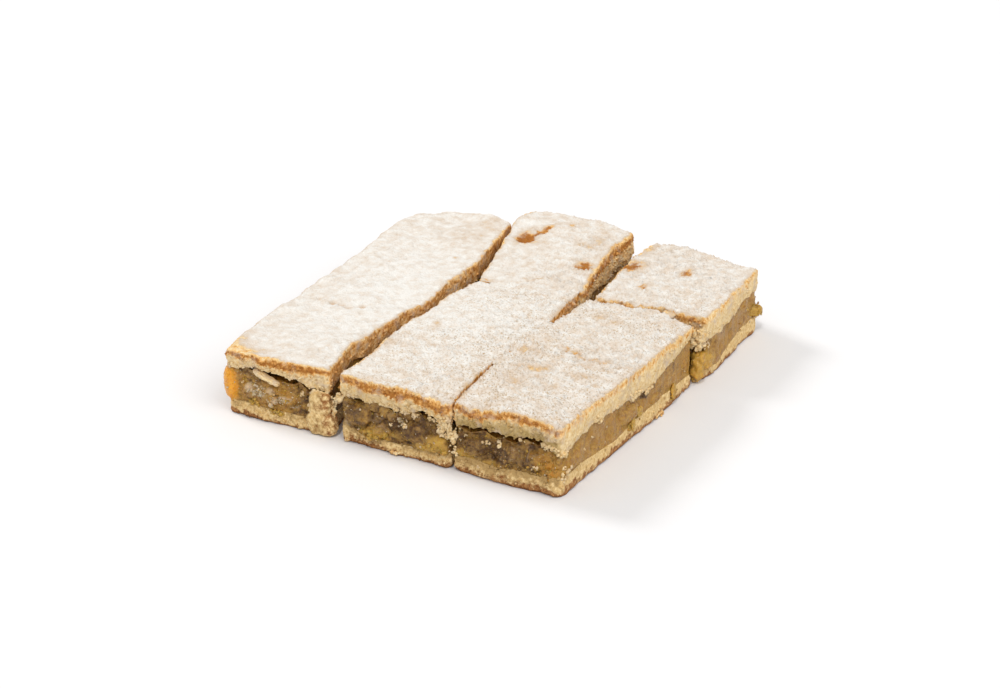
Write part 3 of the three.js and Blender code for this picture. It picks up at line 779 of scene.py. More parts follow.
# The front part of the cut between the two front slices: narrow, with sharp edges.
narrowCut = seamLine(1, 3, "along", 0.0, 0.4)[0]


# One of a slice's four numbers for its faces, blended round its corners by how much a point is on each
# side.
def faceValue(shape, which):
    values = cutFaces[shape["slice"]["name"]]
    total = sum(shape["sides"].values())
    return sum(shape["sides"][side] * values[side][which] for side in values) / total


# How near plan points are to a bridged join.
def bridgeShare(x, y, reach):
    return np.max([nearLine(x, y, line, reach) for line in seamLines.values()], axis=0)


def sugarAt(x, y):
    return dusting["everywhere"] + sum(amount * hill(x, y, at, half) for at, half, amount in dusting["heaps"])


# The sugar's grains in millimetres: how far apart they lie, how high they stand at the left and at the
# right, and how strongly small hollows between them show, darkened with painted shade and with warmer thin
# sugar, there, and towards the back.
grainShape = {
    "size": 1.1,
    "pit": 0.35,
    "height": (0.55, 1.5),
    "grainShadeAndWarmth": (0.1, 0.85),
    "grainShadeAndWarmthBack": 0.45,
    "patchSize": 14,
}


# How strongly the painted shade between the sugar's grains and the warmer thin sugar show at plan points.
def grainShadeAndWarmthAt(x, y):
    look = grainShape
    towardsBack = blend(1, look["grainShadeAndWarmthBack"], smooth(95, 140, y))
    return (blend(*look["grainShadeAndWarmth"], smooth(25, 105, x)) * towardsBack
            * (1 + 0.8 * planNoise(x, y, look["patchSize"], 41)))


# The relief of the dusted top, the same for all slices, so that it runs on over the bridged joins: slow
# dents, clumps, and grains of sugar that each have a height of their own. Gives the relief and the grains
# alone.
def dustedRelief(x, y):
    look = grainShape
    flat = planRows(x, y)
    near, second, number = nearestLumps(flat, look["size"], 11)
    grains = (number - 0.5) * smooth(0, 0.3, second - near) + 0.6 * (0.5 - near)
    grains -= look["pit"] * smooth(0.14, 0.06, number) * smooth(0.05, 0.35, second - near)
    grains = grains.reshape(x.shape)
    dents = (0.5 * softNoise(flat, 8, 3) + 0.32 * roughNoise(flat, 3.2, 1)).reshape(x.shape)
    strength = (0.95 + 0.35 * planNoise(x, y, 9, 2)) * blend(*look["height"], smooth(20, 115, x))
    crumbled = np.max([insideEllipse(x, y, patch) for patch in crumbledPatches], axis=0)
    return dents + grains * (strength + 0.4 * crumbled), grains - 0.7 * crumbled


# The upper crust in millimetres. The chips are bits broken off the rim at the cuts; the tray's side
# rounds it.
lidShape = {
    "chipSize": 3.4,
    "chipWidth": 1.9,
    "chipDepth": 0.9,
    "trayReach": (1.0, 4.0),
    "trayWidth": 3.2,
    "trayDepth": 1.5,
    "joinReach": 2.6,  # nearer than this to a bridged or narrow cut, the rim stays whole
    "fraySize": 2.8,  # the bare patches' outlines are frayed by a noise of this size
    "bareDepth": 0.22,
    "rows": 22,
    "tearSize": 3.2,
    "tearDepth": 1.1,
    "inwards": (2.2, 4, 7, 11),  # how far in the underside's rows lie
}


# A lid's top: its height, and how thickly the sugar lies and how brown the crust is on it.
def lidTop(shape, seed):
    piece, look = shape["slice"], lidShape
    x, y = shape["plan"][..., 0], shape["plan"][..., 1]
    width, length = shape["size"]
    inwards = {"left": shape["u"] * width, "right": (1 - shape["u"]) * width,
               "front": shape["v"] * length, "back": (1 - shape["v"]) * length}
    tray = np.zeros(x.shape)
    for side in piece["tray"]:
        tray = np.maximum(tray, 1 - smooth(*look["trayReach"], inwards[side]))
    chips = 0.5 + 0.9 * np.clip(planNoise(x, y, look["chipSize"], seed + 40), -0.4, 1)
    bridged = bridgeShare(x, y, look["joinReach"])
    narrow = np.maximum(bridged, 0.75 * nearLine(x, y, narrowCut, look["joinReach"]))
    cutDrop = np.clip(1 - shape["edge"] / look["chipWidth"], 0, 1) ** 2
    cutDrop = look["chipDepth"] * (1 - narrow) * chips * cutDrop
    trayDrop = look["trayDepth"] * np.clip(1 - shape["edge"] / look["trayWidth"], 0, 1) ** 2
    relief, grains = dustedRelief(x, y)
    top = crustTop(piece, x, y) - blend(cutDrop, trayDrop, tray) + relief

    strayX = x + 2.0 * planNoise(x, y, look["fraySize"], seed + 51)
    strayY = y + 2.4 * planNoise(x, y, look["fraySize"], seed + 52)
    spotted = planNoise(x, y, 1.8, seed + 55)
    bare, toasted, pricked, ridged = (np.zeros(x.shape) for _ in range(4))
    for patch in barePatches:
        inside = insideEllipse(strayX, strayY, patch)
        bare = np.maximum(bare, patch[3] * inside * (1 - 0.25 * np.maximum(spotted, 0)))
        toasted = np.maximum(toasted, patch[4] * smooth(0.2, 0.75, inside) * (0.95 + 0.6 * spotted))
    for place in forkPricks["places"]:
        pricked = np.maximum(pricked, hill(x, y, place, forkPricks["half"]))
    top -= look["bareDepth"] * smooth(0.3, 0.8, bare) + forkPricks["depth"] * pricked
    for line in forkPricks["lines"]:
        dragged = nearLine(strayX, strayY, line, forkPricks["width"])
        pricked = np.maximum(pricked, dragged * (0.55 + 0.6 * spotted))
    for line in sugarRidges["lines"]:
        ridged = np.maximum(ridged, nearLine(x, y, line, sugarRidges["width"]))
    top += sugarRidges["height"] * ridged

    sugar = sugarAt(x, y) + 0.18 * grains - np.maximum(0.9 * bare, 0.8 * pricked) - 0.32 * ridged
    fromEdge = shape["edge"] - 1.3 * planNoise(x, y, 4.5, seed + 53)
    sugar -= 0.35 * (1 - smooth(-0.5, 2.4, fromEdge)) * (1 - bridged)
    browning = 0.2 + 0.3 * smooth(0.4, 0.75, bare) + toasted
    browning = np.maximum(browning, np.maximum(0.4 * tray, 1.1 * pricked))
    stray = 1.1 * planNoise(x, y, 3.0, seed + 54)
    for side, reach in piece["worn"].items():
        worn = (1 - smooth(0.3 * reach, reach + 0.4, inwards[side] + stray)) * (1 - bridged)
        sugar -= 0.45 * worn
        browning = np.maximum(browning, 0.6 * worn)
    return top, sugar, browning


# A lid's broken edge, from its torn foot up to the rim: rows whose insets go through four waves,
# roughened by crumbs, with the masks for its browned band, the sugar on the tray's side and the juice it
# soaked up.
def lidWall(shape, seed, rim):
    look = lidShape
    share = np.linspace(0, 1, look["rows"] + 1)[:, None]
    x, y = shape["loop"].T
    torn = roughNoise(np.column_stack([x, y, 0 * x]), look["tearSize"], seed + 6)
    heights = blend(underLid(x, y) + look["tearDepth"] * torn - 0.1, rim, share)
    waves = [0.35 * unevenness(x, y, 9, number) for number in (21, 22, 23)]
    steps = [(0, 0.5 + waves[0]), (0.35, waves[1]), (0.75, waves[2] - 0.2), (1, 0.15 + 0 * x)]
    wall = wallRows(shape, stepInsets(share, steps, straight), heights)
    roughness, band, brownness, strength = (faceValue(shape, which) for which in range(4))
    relief = crumbRelief(wall.reshape(-1, 3), seed).reshape(heights.shape) * roughness
    wall = pushOut(shape, wall, relief * (1 - smooth(0.86, 1.0, share)))

    below = rim - wall[..., 2]
    wander = 1.3 * roughNoise(wall.reshape(-1, 3) * [0.6, 0.6, 1.2], 4.0, seed + 3).reshape(heights.shape)
    brown = smooth(band + 2.2, band - 1.8, below + 1.4 * wander * roughness) * smooth(-1.0, 1.2, below)
    core = np.exp(-(((below + wander - 0.6 * band) / (0.42 * band)) ** 2))
    brown = np.maximum(brown * strength * (0.75 + 0.35 * core), brownness)
    sugar = 0.7 * smooth(3.2, 0.6, below + 0.8 * wander) * shape["onTray"]
    juices = shape["slice"].get("juice", {})
    juice = sum((shape["sides"][side] * much for side, much in juices.items()), 0 * x)
    soaking = smooth(0.85, 0.2, share + 0.15 * wander) * juice
    return wall, {"browning": brown, "sugar": sugar, "soaking": soaking}


# The upper crust: its dusted top on the plan grid, rows down the broken edge, and an underside that goes in
# and closes to a point.
def makeLid(shape, material):
    piece, rows = shape["slice"], lidShape["rows"]
    seed = 100 + 10 * slices.index(piece)
    i, j = shape["border"]
    x, y = shape["plan"][..., 0], shape["plan"][..., 1]
    top, sugar, browning = lidTop(shape, seed)
    wall, wallMasks = lidWall(shape, seed, top[i, j])
    under = inwardRows(shape, lidShape["inwards"], underLid)
    shape["lidWall"] = (wall[:-2], {mask: values[:-2] for mask, values in wallMasks.items()})

    points = np.concatenate([np.column_stack([x.ravel(), y.ravel(), top.ravel()]), wall[:-1].reshape(-1, 3),
                             under.reshape(-1, 3), [under[-1].mean(axis=0)]])
    count = len(i)
    wallEnd = x.size + rows * count
    topMasks = {"sugar": sugar, "browning": browning, "grainShadeAndWarmth": grainShadeAndWarmthAt(x, y)}
    masks = {mask: np.zeros(len(points)) for mask in crustMasks}
    masks["browning"][wallEnd:] = 0.9
    for mask, values in topMasks.items():
        masks[mask][:x.size] = values.ravel()
    for mask, values in wallMasks.items():
        masks[mask][x.size:wallEnd] = values[:-1].ravel()
    index = np.arange(x.size).reshape(x.shape)
    topFaces = np.stack([index[:-1, :-1], index[1:, :-1], index[1:, 1:], index[:-1, 1:]], axis=-1)
    starts = [x.size + k * count for k in range(rows + len(under))]
    border = i * x.shape[1] + j
    lastRow = starts[rows - 1] + np.arange(count)
    rimFaces = np.stack([lastRow, np.roll(lastRow, -1), np.roll(border, -1), border], axis=1)
    sideFaces = bandFaces([*starts[:rows - 1:-1], *starts[:rows]], count)
    quads = np.concatenate([topFaces.reshape(-1, 4), rimFaces, sideFaces])
    triangles = fanFaces(starts[-1], count, len(points) - 1, False)
    return putInMesh(piece["name"] + "_sugared_crust", points, quads, triangles, masks, material,
                     (piece["name"] + "_lid",))


# Firm pieces of apple that stand out of the cuts: middle, half sizes and turn, as the solids have them.
appleLumps = {
    "left_strip": [((0.4, 4.6, 13), (4.2, 5, 8.4), 20), ((12, 1.6, 12.5), (4.5, 2.6, 3.4), 5),
                   ((22, 1.4, 10.5), (4, 2.2, 2.6), -12), ((31, 1.8, 13), (4.2, 2.4, 3.2), 8)],
    "middle_front": [((66, 1.4, 13.5), (6, 2.4, 4.4), 4), ((74, 0.9, 7.4), (4.6, 1.9, 2.4), -8),
                     ((93, 1.4, 12), (5.4, 2.4, 4), 6), ((102, 0.9, 8.4), (8.4, 1.6, 4.6), -6)],
    "right_front": [((122, 1.4, 13), (5.4, 2.4, 3.8), 6), ((137, 1.6, 14), (5, 2.6, 4.4), -10),
                    ((149, 1.4, 13.5), (4.6, 2.4, 4), 12), ((160.6, 12, 13), (1.8, 7, 3.6), 0),
                    ((160.9, 60, 12.4), (1.8, 8, 3.4), 0), ((160.8, 84, 9.6), (1.8, 4.6, 2.6), 0)],
    "middle_back": [((91.4, 182, 14), (2, 7, 4), 8)],
    "right_back": [((161.6, 134.8, 6.6), (3.4, 5.4, 5.8), 0), ((161.4, 192.5, 11.6), (4, 2.6, 2.2), -14)],
}
# Where the filling has a colour of their own: middle, half sizes, mask and strength. The darkening tints lie
# mostly just under the lid and in holes, and there they are painted shade; the pale tints across the left
# slice's front are painted glints.
fillingTints = [
    ((4.0, 0, 13), (8.0, 9, 10), "orange", 0.3),
    ((0.0, 3, 13), (6.4, 9, 10), "orange", 0.85),
    ((8.6, 0, 13), (3.0, 6, 7), "light", 0.7),
    ((-4.6, 4, 11.6), (3.0, 9, 9), "yellow", 0.6),
    ((147.2, 0, 15.6), (0.6, 6, 2.8), "pearl", 0.7),
    ((13.5, 0, 8), (3, 5, 2), "yellow", 0.8),
    ((24, 0, 8.4), (4, 5, 2), "yellow", 0.7),
    ((36, 0, 17), (7, 8, 4), "dark", 0.4),
    ((25, 0, 12), (12, 8, 7), "light", 1.0),
    ((66, 0, 15.5), (8, 7, 5), "dark", 0.3),
    ((75, 0, 6.8), (6, 5, 2.4), "yellow", 0.9),
    ((98, 0, 6.4), (5.0, 5, 2.8), "yellow", 0.85),
    ((103.6, 0, 8.2), (4.6, 5, 4.6), "yellow", 0.85),
    ((106.5, 0, 10.5), (3.0, 5, 4.4), "yellow", 0.8),
    ((90, 0, 13), (10, 7, 5), "dark", 0.66),
    ((118, 0, 14), (9, 7, 5), "dark", 0.6),
    ((129, 0, 13), (7, 7, 6), "dark", 0.7),
    ((134.0, 0, 13), (4.0, 7, 6), "dark", 0.75),
    ((143.5, 0, 13.6), (8, 7, 6), "dark", 0.62),
    ((142.2, 0, 14.4), (4.0, 7, 4.4), "grey", 0.36),
    ((17, 0, 13), (7, 7, 5), "grey", 0.4),
    # Painted glints: pale tints across the wet filling on the left slice's front.
    ((12.4, 0, 14.8), (2.4, 5, 1.9), "pearl", 0.62),
    ((17.8, 0, 12.4), (3.0, 5, 1.8), "pearl", 0.62),
    ((22.6, 0, 14.2), (2.2, 5, 1.4), "pearl", 0.55),
    ((25.4, 0, 10.6), (2.4, 5, 1.6), "pearl", 0.6),
    ((30.4, 0, 12.6), (3.2, 5, 1.6), "pearl", 0.6),
    ((34.2, 0, 9.2), (2.8, 5, 1.6), "pearl", 0.56),
    ((163, 30, 13.6), (6, 32, 6), "pearl", 0.32),
    ((59.5, 0, 8), (3, 7, 2.4), "pearl", 0.5),
    ((151.5, 0, 18), (2.8, 7, 4.5), "dark", 0.7),
    ((137.0, 0, 14.5), (1.9, 7, 6), "dark", 0.7),
    ((155.5, 0, 12), (6, 9, 7), "light", 1.0),
    ((156.4, 0, 10.6), (4.6, 9, 6), "orange", 0.4),
    ((163, 30, 13), (6, 32, 9), "light", 0.6),
    ((117, 0, 8.4), (6, 5, 2.6), "yellow", 0.7),
    ((129, 0, 7), (4, 5, 2), "yellow", 0.5),
    ((95, 172, 12), (9, 42, 10), "light", 0.8),
    ((163, 102, 6), (4, 5.5, 4.5), "yellow", 1.0),
    ((163, 66, 9.5), (3, 3, 5), "yellow", 0.8),
    ((163, 134, 6.5), (5, 8, 7), "yellow", 1.0),
    ((163, 134, 5.5), (5, 7, 6), "orange", 0.5),
    # Painted shade: a hole among the crumbs on the right cut.
    ((163, 72, 15.4), (4, 4.5, 1.8), "dark", 0.8),
    ((163, 192.5, 11.6), (6, 5, 4), "yellow", 0.8),
    ((163, 126, 17), (5, 4, 5), "dark", 0.5),
]
# Which of the filling's cells have a colour of their own: its strength, from and to which of the cells'
# numbers it comes in, and a factor that draws the numbers anew for each mask.
cellTints = {
    "dark": (0.5, 0.3, 0.9, 7.31),
    "yellow": (0.8, 0.74, 0.9, 13.7),
    "grey": (0.7, 0.55, 0.8, 29.3),
}
# The filling in millimetres: its pieces of apple as cells with grooves between them, its mush as small
# lumps, how far these go in and out, and how much calmer a knife's cut and the tray's side are.
fillingShape = {
    "rows": 32,
    "cellSize": 4.6,
    "grooveDepth": 0.35,
    "mushSize": 1.6,
    "limits": (-2.4, 3.2),
    "calmKnifeCut": 0.78,
    "calmTray": 0.5,
    "overInwards": (2.2, 3, 4, 5.5, 7, 9, 12),
    "underInwards": (3, 6),
}


# How far each border point has to move out to lie on the firm pieces: ellipses in plan that shrink
# upwards, so that the squares along and across and the 3.5th power of the height add up to 1.
def lumpReach(shape, rows):
    reach = np.full(rows.shape[:2], -9.0)
    for (atX, atY, atZ), (halfX, halfY, halfZ), turn in appleLumps.get(shape["slice"]["name"], ()):
        a0, b0 = turned(rows[..., 0] - atX, rows[..., 1] - atY, math.radians(turn))
        a1, b1 = turned(*shape["outward"].T, math.radians(turn))
        a0, b0, a1, b1 = a0 / halfX, b0 / halfY, a1 / halfX, b1 / halfY
        height = np.abs(rows[..., 2] - atZ) / halfZ
        square, line = a1**2 + b1**2, 2 * (a0 * a1 + b0 * b1)
        rest = a0**2 + b0**2 + height**3.5 - 1
        inside = line**2 - 4 * square * rest
        distance = (-line + np.sqrt(np.maximum(inside, 0))) / (2 * square)
        reach = np.maximum(reach, np.where((inside > 0) & (np.abs(distance) < 6), distance, -9))
    return reach


# How deep, light and coloured each point of the filling is. On the wall, cells have their own colours and
# pale rims, sunk places and grooves are darker with painted shade, a knife's cut is light and streaky and
# darkened towards the lid with painted shade, and the tray's side is plain; then come the listed tints, each
# of which pushes back the other masks.
def fillingMasks(shape, seed, points, flat, relief, groove, number):
    rows, count = relief.shape
    size = relief.size
    masks = {mask: np.zeros(len(points)) for mask in appleMasks}
    masks["dark"] += 0.2 + 0.4 * smooth(-0.4, 0.5, roughNoise(points, 4.2, seed + 2))
    onWall = {mask: values[:size] for mask, values in masks.items()}
    blurred = smooth(0.02, 0.3, groove) * (0.55 + 0.45 * roughNoise(flat, 2.2, seed + 16))
    for mask, (strength, low, high, factor) in cellTints.items():
        onWall[mask] += strength * blurred * smooth(low, high, (number * factor) % 1)
    # Painted shade: sunk places and the floors of the grooves are darkened.
    onWall["dark"] += 0.4 * smooth(0.1, -1.3, relief).ravel() + 0.1 * smooth(0.14, 0.0, groove) - 0.1
    paleRim = smooth(0.08, 0.17, groove) * smooth(0.4, 0.24, groove)
    onWall["pearl"] += 0.3 * paleRim * smooth(0.4, 0.8, (number * 17.9) % 1)
    knifeCut = np.tile(shape["sides"]["right"], rows) * (shape["slice"]["rightSide"][0][0] > 150)
    unseen = np.tile(shape["onTray"], rows)
    for mask in ("yellow", "grey", "pearl"):
        onWall[mask] *= (1 - knifeCut) * (1 - 0.8 * unseen)
    streaks = roughNoise(points[:size] * [1, 1.5, 0.4], 2.2, seed + 15)
    height = np.repeat(np.linspace(0, 1, rows), count) + 0.2 * roughNoise(points[:size], 5, seed + 17)
    onWall["dark"][:] = blend(onWall["dark"], 0.35, 0.6 * unseen)
    # Painted shade: a knife's cut is darkened towards its top, under the lid.
    onWall["dark"] += knifeCut * (0.45 * smooth(0.5, 1.0, height) - 0.42)
    onWall["light"] += 0.4 * unseen + knifeCut * (0.52 + 0.6 * streaks)
    broken = 1 + 1.6 * np.clip(roughNoise(points, 2.6, seed + 14), -0.5, 1)
    for at, half, mask, strength in fillingTints:
        far = np.sum(((points - at) / half) ** 2, axis=1)
        amount = strength * np.exp(-(far**2) * broken)
        for other in appleMasks:
            if other != mask:
                masks[other] *= 1 - amount
        masks[mask] = np.maximum(masks[mask], amount)
    return masks


# The filling's cuts: pieces of apple as flat-topped cells with grooves between them, mush in small lumps,
# and the firm pieces standing out. Its edges go in under the pastry, and its top sinks away where hollows
# are.
def makeFilling(shape, material):
    piece, look = shape["slice"], fillingShape
    seed = 300 + 10 * slices.index(piece)
    gap = block["layerGap"]
    x, y = shape["loop"].T
    hollow = hollowDepth(x, y)
    hollowed = smooth(0, 0.9, hollow)
    low = aboveBase(x, y) - 0.4 + 0.9 * roughNoise(np.column_stack([x, y, 0 * x]), 4, seed + 11)
    high = underLid(x, y) + 0.5 - (hollow + gap + 0.5) * hollowed
    share = np.linspace(0, 1, look["rows"] + 1)[:, None]
    heights = blend(low, high, share)
    bulge = [0.6 - 0.75 * unevenness(x, y, 8, number) for number in (31, 33)]
    steps = [(0, 0.5 + 0 * x), (0.3, bulge[0]), (0.7, bulge[1]), (1, 0.9 + 0.7 * hollowed)]
    wall = wallRows(shape, stepInsets(share, steps, smooth), heights)

    flat = wall.reshape(-1, 3)
    strayed = flat * [0.75, 0.75, 1.25] + 0.8 * softNoise(flat, 2.4, seed + 4)[:, None]
    near, second, number = nearestLumps(strayed, look["cellSize"], seed)
    groove = second - near
    cells = 1.1 * (number - 0.6) - look["grooveDepth"] * smooth(0.3, 0.0, groove)
    small, _, _ = nearestLumps(flat, look["mushSize"], seed + 5)
    mush = 0.75 * (0.55 - small) + 0.7 * roughNoise(flat, 3.6, seed + 7)
    calm = 1 - look["calmKnifeCut"] * shape["sides"]["right"] - look["calmTray"] * shape["onTray"]
    relief = (cells + mush).reshape(heights.shape) * calm
    reach = lumpReach(shape, wall)
    relief = np.maximum(relief, np.where(reach > -6, reach + 0.8 * mush.reshape(heights.shape), relief))
    edgeFade = smooth(0, 0.12, share) * smooth(1.0, 0.9, share)
    relief = relief * np.where(relief < 0, edgeFade, np.sqrt(edgeFade))
    wall = pushOut(shape, wall, np.clip(relief, *look["limits"]))

    over = inwardRows(shape, look["overInwards"], lambda x, y: underLid(x, y) - gap - hollowDepth(x, y))
    over[..., 2] -= 0.4 + 0.5 * roughNoise(over.reshape(-1, 3), 2.6, seed + 8).reshape(over.shape[:2])
    under = inwardRows(shape, look["underInwards"], lambda x, y: aboveBase(x, y) + gap)
    points, quads, triangles = closeWall(wall, over, under, under[-1].mean(axis=0))
    masks = fillingMasks(shape, seed, points, flat, relief, groove, number)
    # Painted shade: the filling's top, under the lid, is darkened.
    masks["dark"][relief.size:relief.size + over[..., 0].size] = 0.3
    shape["appleWall"] = (wall, {mask: values[:relief.size].reshape(relief.shape)
                                 for mask, values in masks.items()})
    return putInMesh(piece["name"] + "_cooked_apple", points, quads, triangles, masks, material,
                     (piece["name"] + "_apple",))


# The lower crust: how far its foot is broken away at a cut and rounded at the tray, in millimetres, up to
# which share of its height the side bellies out at both, and how far up it is browned and scorched; the
# scorched band along the foot is partly painted contact shade.
baseShape = {
    "rows": 16,
    "foot": (0.9, 3.6),
    "belly": (0.3, 0.5),
    "inwards": (2, 4, 7),
    "browned": 3.4,
    "scorched": 1.9,
}


# The lower crust: broken sides with a foot that breaks off or curls up, a flat underside and a hidden top.
def makeBase(shape, material):
    piece, look = shape["slice"], baseShape
    seed = 500 + 10 * slices.index(piece)
    x, y = shape["loop"].T
    tray = shape["onTray"]
    top = aboveBase(x, y)
    foot = blend(look["foot"][0] + 0.35 * unevenness(x, y, 9, 41), look["foot"][1], tray)
    side = 0.8 * tray + 0.35 * unevenness(x, y, 9, 43)
    belly = top * blend(*look["belly"], tray)
    share = np.linspace(0, 1, look["rows"] + 1)[:, None]
    heights = top * share
    toBelly = np.clip(heights / belly, 0, 1)
    toTop = np.clip((heights - belly) / (top - belly), 0, 1)
    insets = blend(foot, side, np.sqrt(toBelly * (2 - toBelly))) + (0.4 - side / 2) * toTop**2
    wall = wallRows(shape, insets, heights)
    relief = crumbRelief(wall.reshape(-1, 3), seed).reshape(heights.shape) * faceValue(shape, 0)
    wall = pushOut(shape, wall, relief * smooth(0, 0.12, share) * smooth(1.0, 0.92, share))
    over = inwardRows(shape, look["inwards"], aboveBase)
    middle = shape["plan"].reshape(-1, 2).mean(axis=0)
    points, quads, triangles = closeWall(wall, over, over[:0], [*middle, 0])

    noise = roughNoise(points, 5, seed + 4)
    juice = piece.get("juice", {}).get("front", 0)
    onTray, onRight, onFront = np.zeros((3, len(points)))
    sides = (tray, shape["sides"]["right"], shape["sides"]["front"])
    for onSide, amount in zip((onTray, onRight, onFront), sides):
        onSide[:relief.size] = np.tile(amount, len(wall))
    browning = 0.9 * smooth(look["browned"] + 2.2 * juice, 0.4, points[:, 2] + 2.4 * noise)
    # The scorched band along the foot: the tray's browning and also painted contact shade.
    scorching = 1.5 * smooth(look["scorched"], 0.2, points[:, 2] + 0.9 * noise)
    browning = np.maximum(np.maximum(browning, 0.7 * onTray), scorching)
    towardsTop = points[:, 2] / np.maximum(aboveBase(points[:, 0], points[:, 1]), 1)
    soaking = 0.6 * smooth(0.5, 1.0, towardsTop + 0.25 * noise) * (1 - 0.8 * onRight)
    soaking += 0.5 * juice * onFront
    masks = {"browning": browning, "soaking": soaking}
    shape["baseWall"] = (wall[2:], {mask: values[:relief.size].reshape(relief.shape)[2:]
                                    for mask, values in masks.items()})
    return putInMesh(piece["name"] + "_baked_base", points, quads, triangles, masks, material,
                     (piece["name"] + "_base",))


crustMaterial = makeCrustMaterial()
appleMaterial = makeAppleMaterial()
baseMaterial = makeBaseMaterial()
print("made the materials")
shapes = []
for piece in slices:
    shape = sliceFrame(piece)
    makeLid(shape, crustMaterial)
    makeFilling(shape, appleMaterial)
    makeBase(shape, baseMaterial)
    shapes.append(shape)
    print("made", piece["name"])


# Unit directions on rings round a sphere at the listed angles up, then its two poles, and the faces
# between.
def sphereRings(columns, angles):
    around, up = np.meshgrid(np.linspace(0, 2 * math.pi, columns, endpoint=False), angles)
    rings = np.stack([np.cos(around) * np.cos(up), np.sin(around) * np.cos(up), np.sin(up)], axis=-1)
    unit = np.concatenate([rings.reshape(-1, 3), [[0, 0, -1], [0, 0, 1]]])
    starts = [k * columns for k in range(len(angles))]
    triangles = np.concatenate([fanFaces(0, columns, len(unit) - 2, False),
                                fanFaces(starts[-1], columns, len(unit) - 1, True)])
    return unit, bandFaces(starts, columns), triangles


# Many small lumps in one piece: each a sphere of three rings of six points, its points moved in and out at
# random, squeezed along three axes, and turned by two random angles.
def smallLumps(at, radius, seed, roughness):
    draws = np.random.default_rng(seed)
    unit, quads, triangles = sphereRings(6, (-0.8, 0, 0.8))
    own = unit * (1 + roughness * draws.uniform(-1, 1, (len(at), len(unit), 1)))
    own = own * draws.uniform(0.65, 1.2, (len(at), 1, 3))
    for first, second in ((0, 1), (1, 2)):
        turn = draws.uniform(0, 2 * math.pi, (len(at), 1))
        own[..., first], own[..., second] = turned(own[..., first], own[..., second], -turn)
    points = at[:, None, :] + own * radius[:, None, None]
    points[..., 2] = np.maximum(points[..., 2], 0.02)
    starts = (np.arange(len(at)) * len(unit))[:, None, None]
    quads, triangles = (quads + starts).reshape(-1, 4), (triangles + starts).reshape(-1, 3)
    return points.reshape(-1, 3), quads, triangles, len(unit)


# Crumbs that cling to the broken walls: most are small, each sits partly sunk and takes its wall's masks.
clingingCrumbs = {
    "lidWall": {"share": 0.075, "smallest": 0.28, "largest": 0.85, "fewLarge": 3.0, "out": 0.15},
    "baseWall": {"share": 0.07, "smallest": 0.28, "largest": 0.85, "fewLarge": 3.0, "out": 0.1},
    "appleWall": {"share": 0.03, "smallest": 0.25, "largest": 0.7, "fewLarge": 3.0, "out": 0.1},
}


def scatterCrumbs(wallName, seed):
    look = clingingCrumbs[wallName]
    draws = np.random.default_rng(seed)
    at, masks = [], []
    for shape in shapes:
        wall, mask = shape[wallName]
        seen = np.maximum(shape["sides"]["front"] + shape["sides"]["right"], 0.15)
        rough = np.minimum(faceValue(shape, 0), 1) ** 1.5
        picked = draws.random(wall.shape[:2]) < look["share"] * seen * rough
        at.append(pushOut(shape, wall, np.full(wall.shape[:2], look["out"]))[picked])
        masks.append({key: values[picked] for key, values in mask.items()})
    at = np.concatenate(at)
    radius = blend(look["smallest"], look["largest"], draws.random(len(at)) ** look["fewLarge"])
    return at, radius, {key: np.concatenate([mask[key] for mask in masks]) for key in masks[0]}


for wallName, seed, material, slotName, pieceName in (
        ("lidWall", 61, crustMaterial, "sugared_crust", "lid_crumbs"),
        ("baseWall", 62, baseMaterial, "pastry_base", "base_crumbs"),
        ("appleWall", 63, appleMaterial, "apple_filling", "apple_bits")):
    at, radius, masks = scatterCrumbs(wallName, seed)
    points, quads, triangles, each = smallLumps(at, radius, seed + 10, 0.42)
    if wallName == "appleWall":
        # A quarter of the bits are pale: pale apple and also painted glints.
        chance = np.random.default_rng(seed + 20).random(len(at))
        masks["pearl"] = np.where(chance < 0.25, 0.8, 0.0)
        masks["yellow"] = np.where((chance > 0.25) & (chance < 0.5), 0.9, masks["yellow"])
    masks = {key: np.repeat(values, each) for key, values in masks.items()}
    putInMesh(pieceName, points, quads, triangles, masks, material)
    print(pieceName, len(at), "lumps")


# Every broken wall point with its outward direction, kept by side, to put named crumbs on. Only the
# outermost cuts count: within 14 mm of the pie's front, or from 148 mm on at its right.
def wallPoints(side):
    points, outward = [], []
    for shape in shapes:
        for wallName in ("lidWall", "appleWall", "baseWall"):
            wall, _ = shape[wallName]
            outer = wall[..., 1] < 14 if side == "front" else wall[..., 0] > 148
            chosen = (shape["sides"][side] > 0.5) & outer
            points.append(wall[chosen])
            outward.append(np.broadcast_to(shape["outward"], (*wall.shape[:2], 2))[chosen])
    return np.concatenate(points), np.concatenate(outward)


walls = {side: wallPoints(side) for side in ("front", "right")}


# The wall point nearest to a place along and up, and that point moved out.
def onWall(side, along, height, out):
    points, outward = walls[side]
    axis = 0 if side == "front" else 1
    nearest = np.argmin((points[:, axis] - along) ** 2 + (points[:, 2] - height) ** 2)
    place = points[nearest].copy()
    place[:2] += out * outward[nearest]
    place[axis], place[2] = along, height
    return place


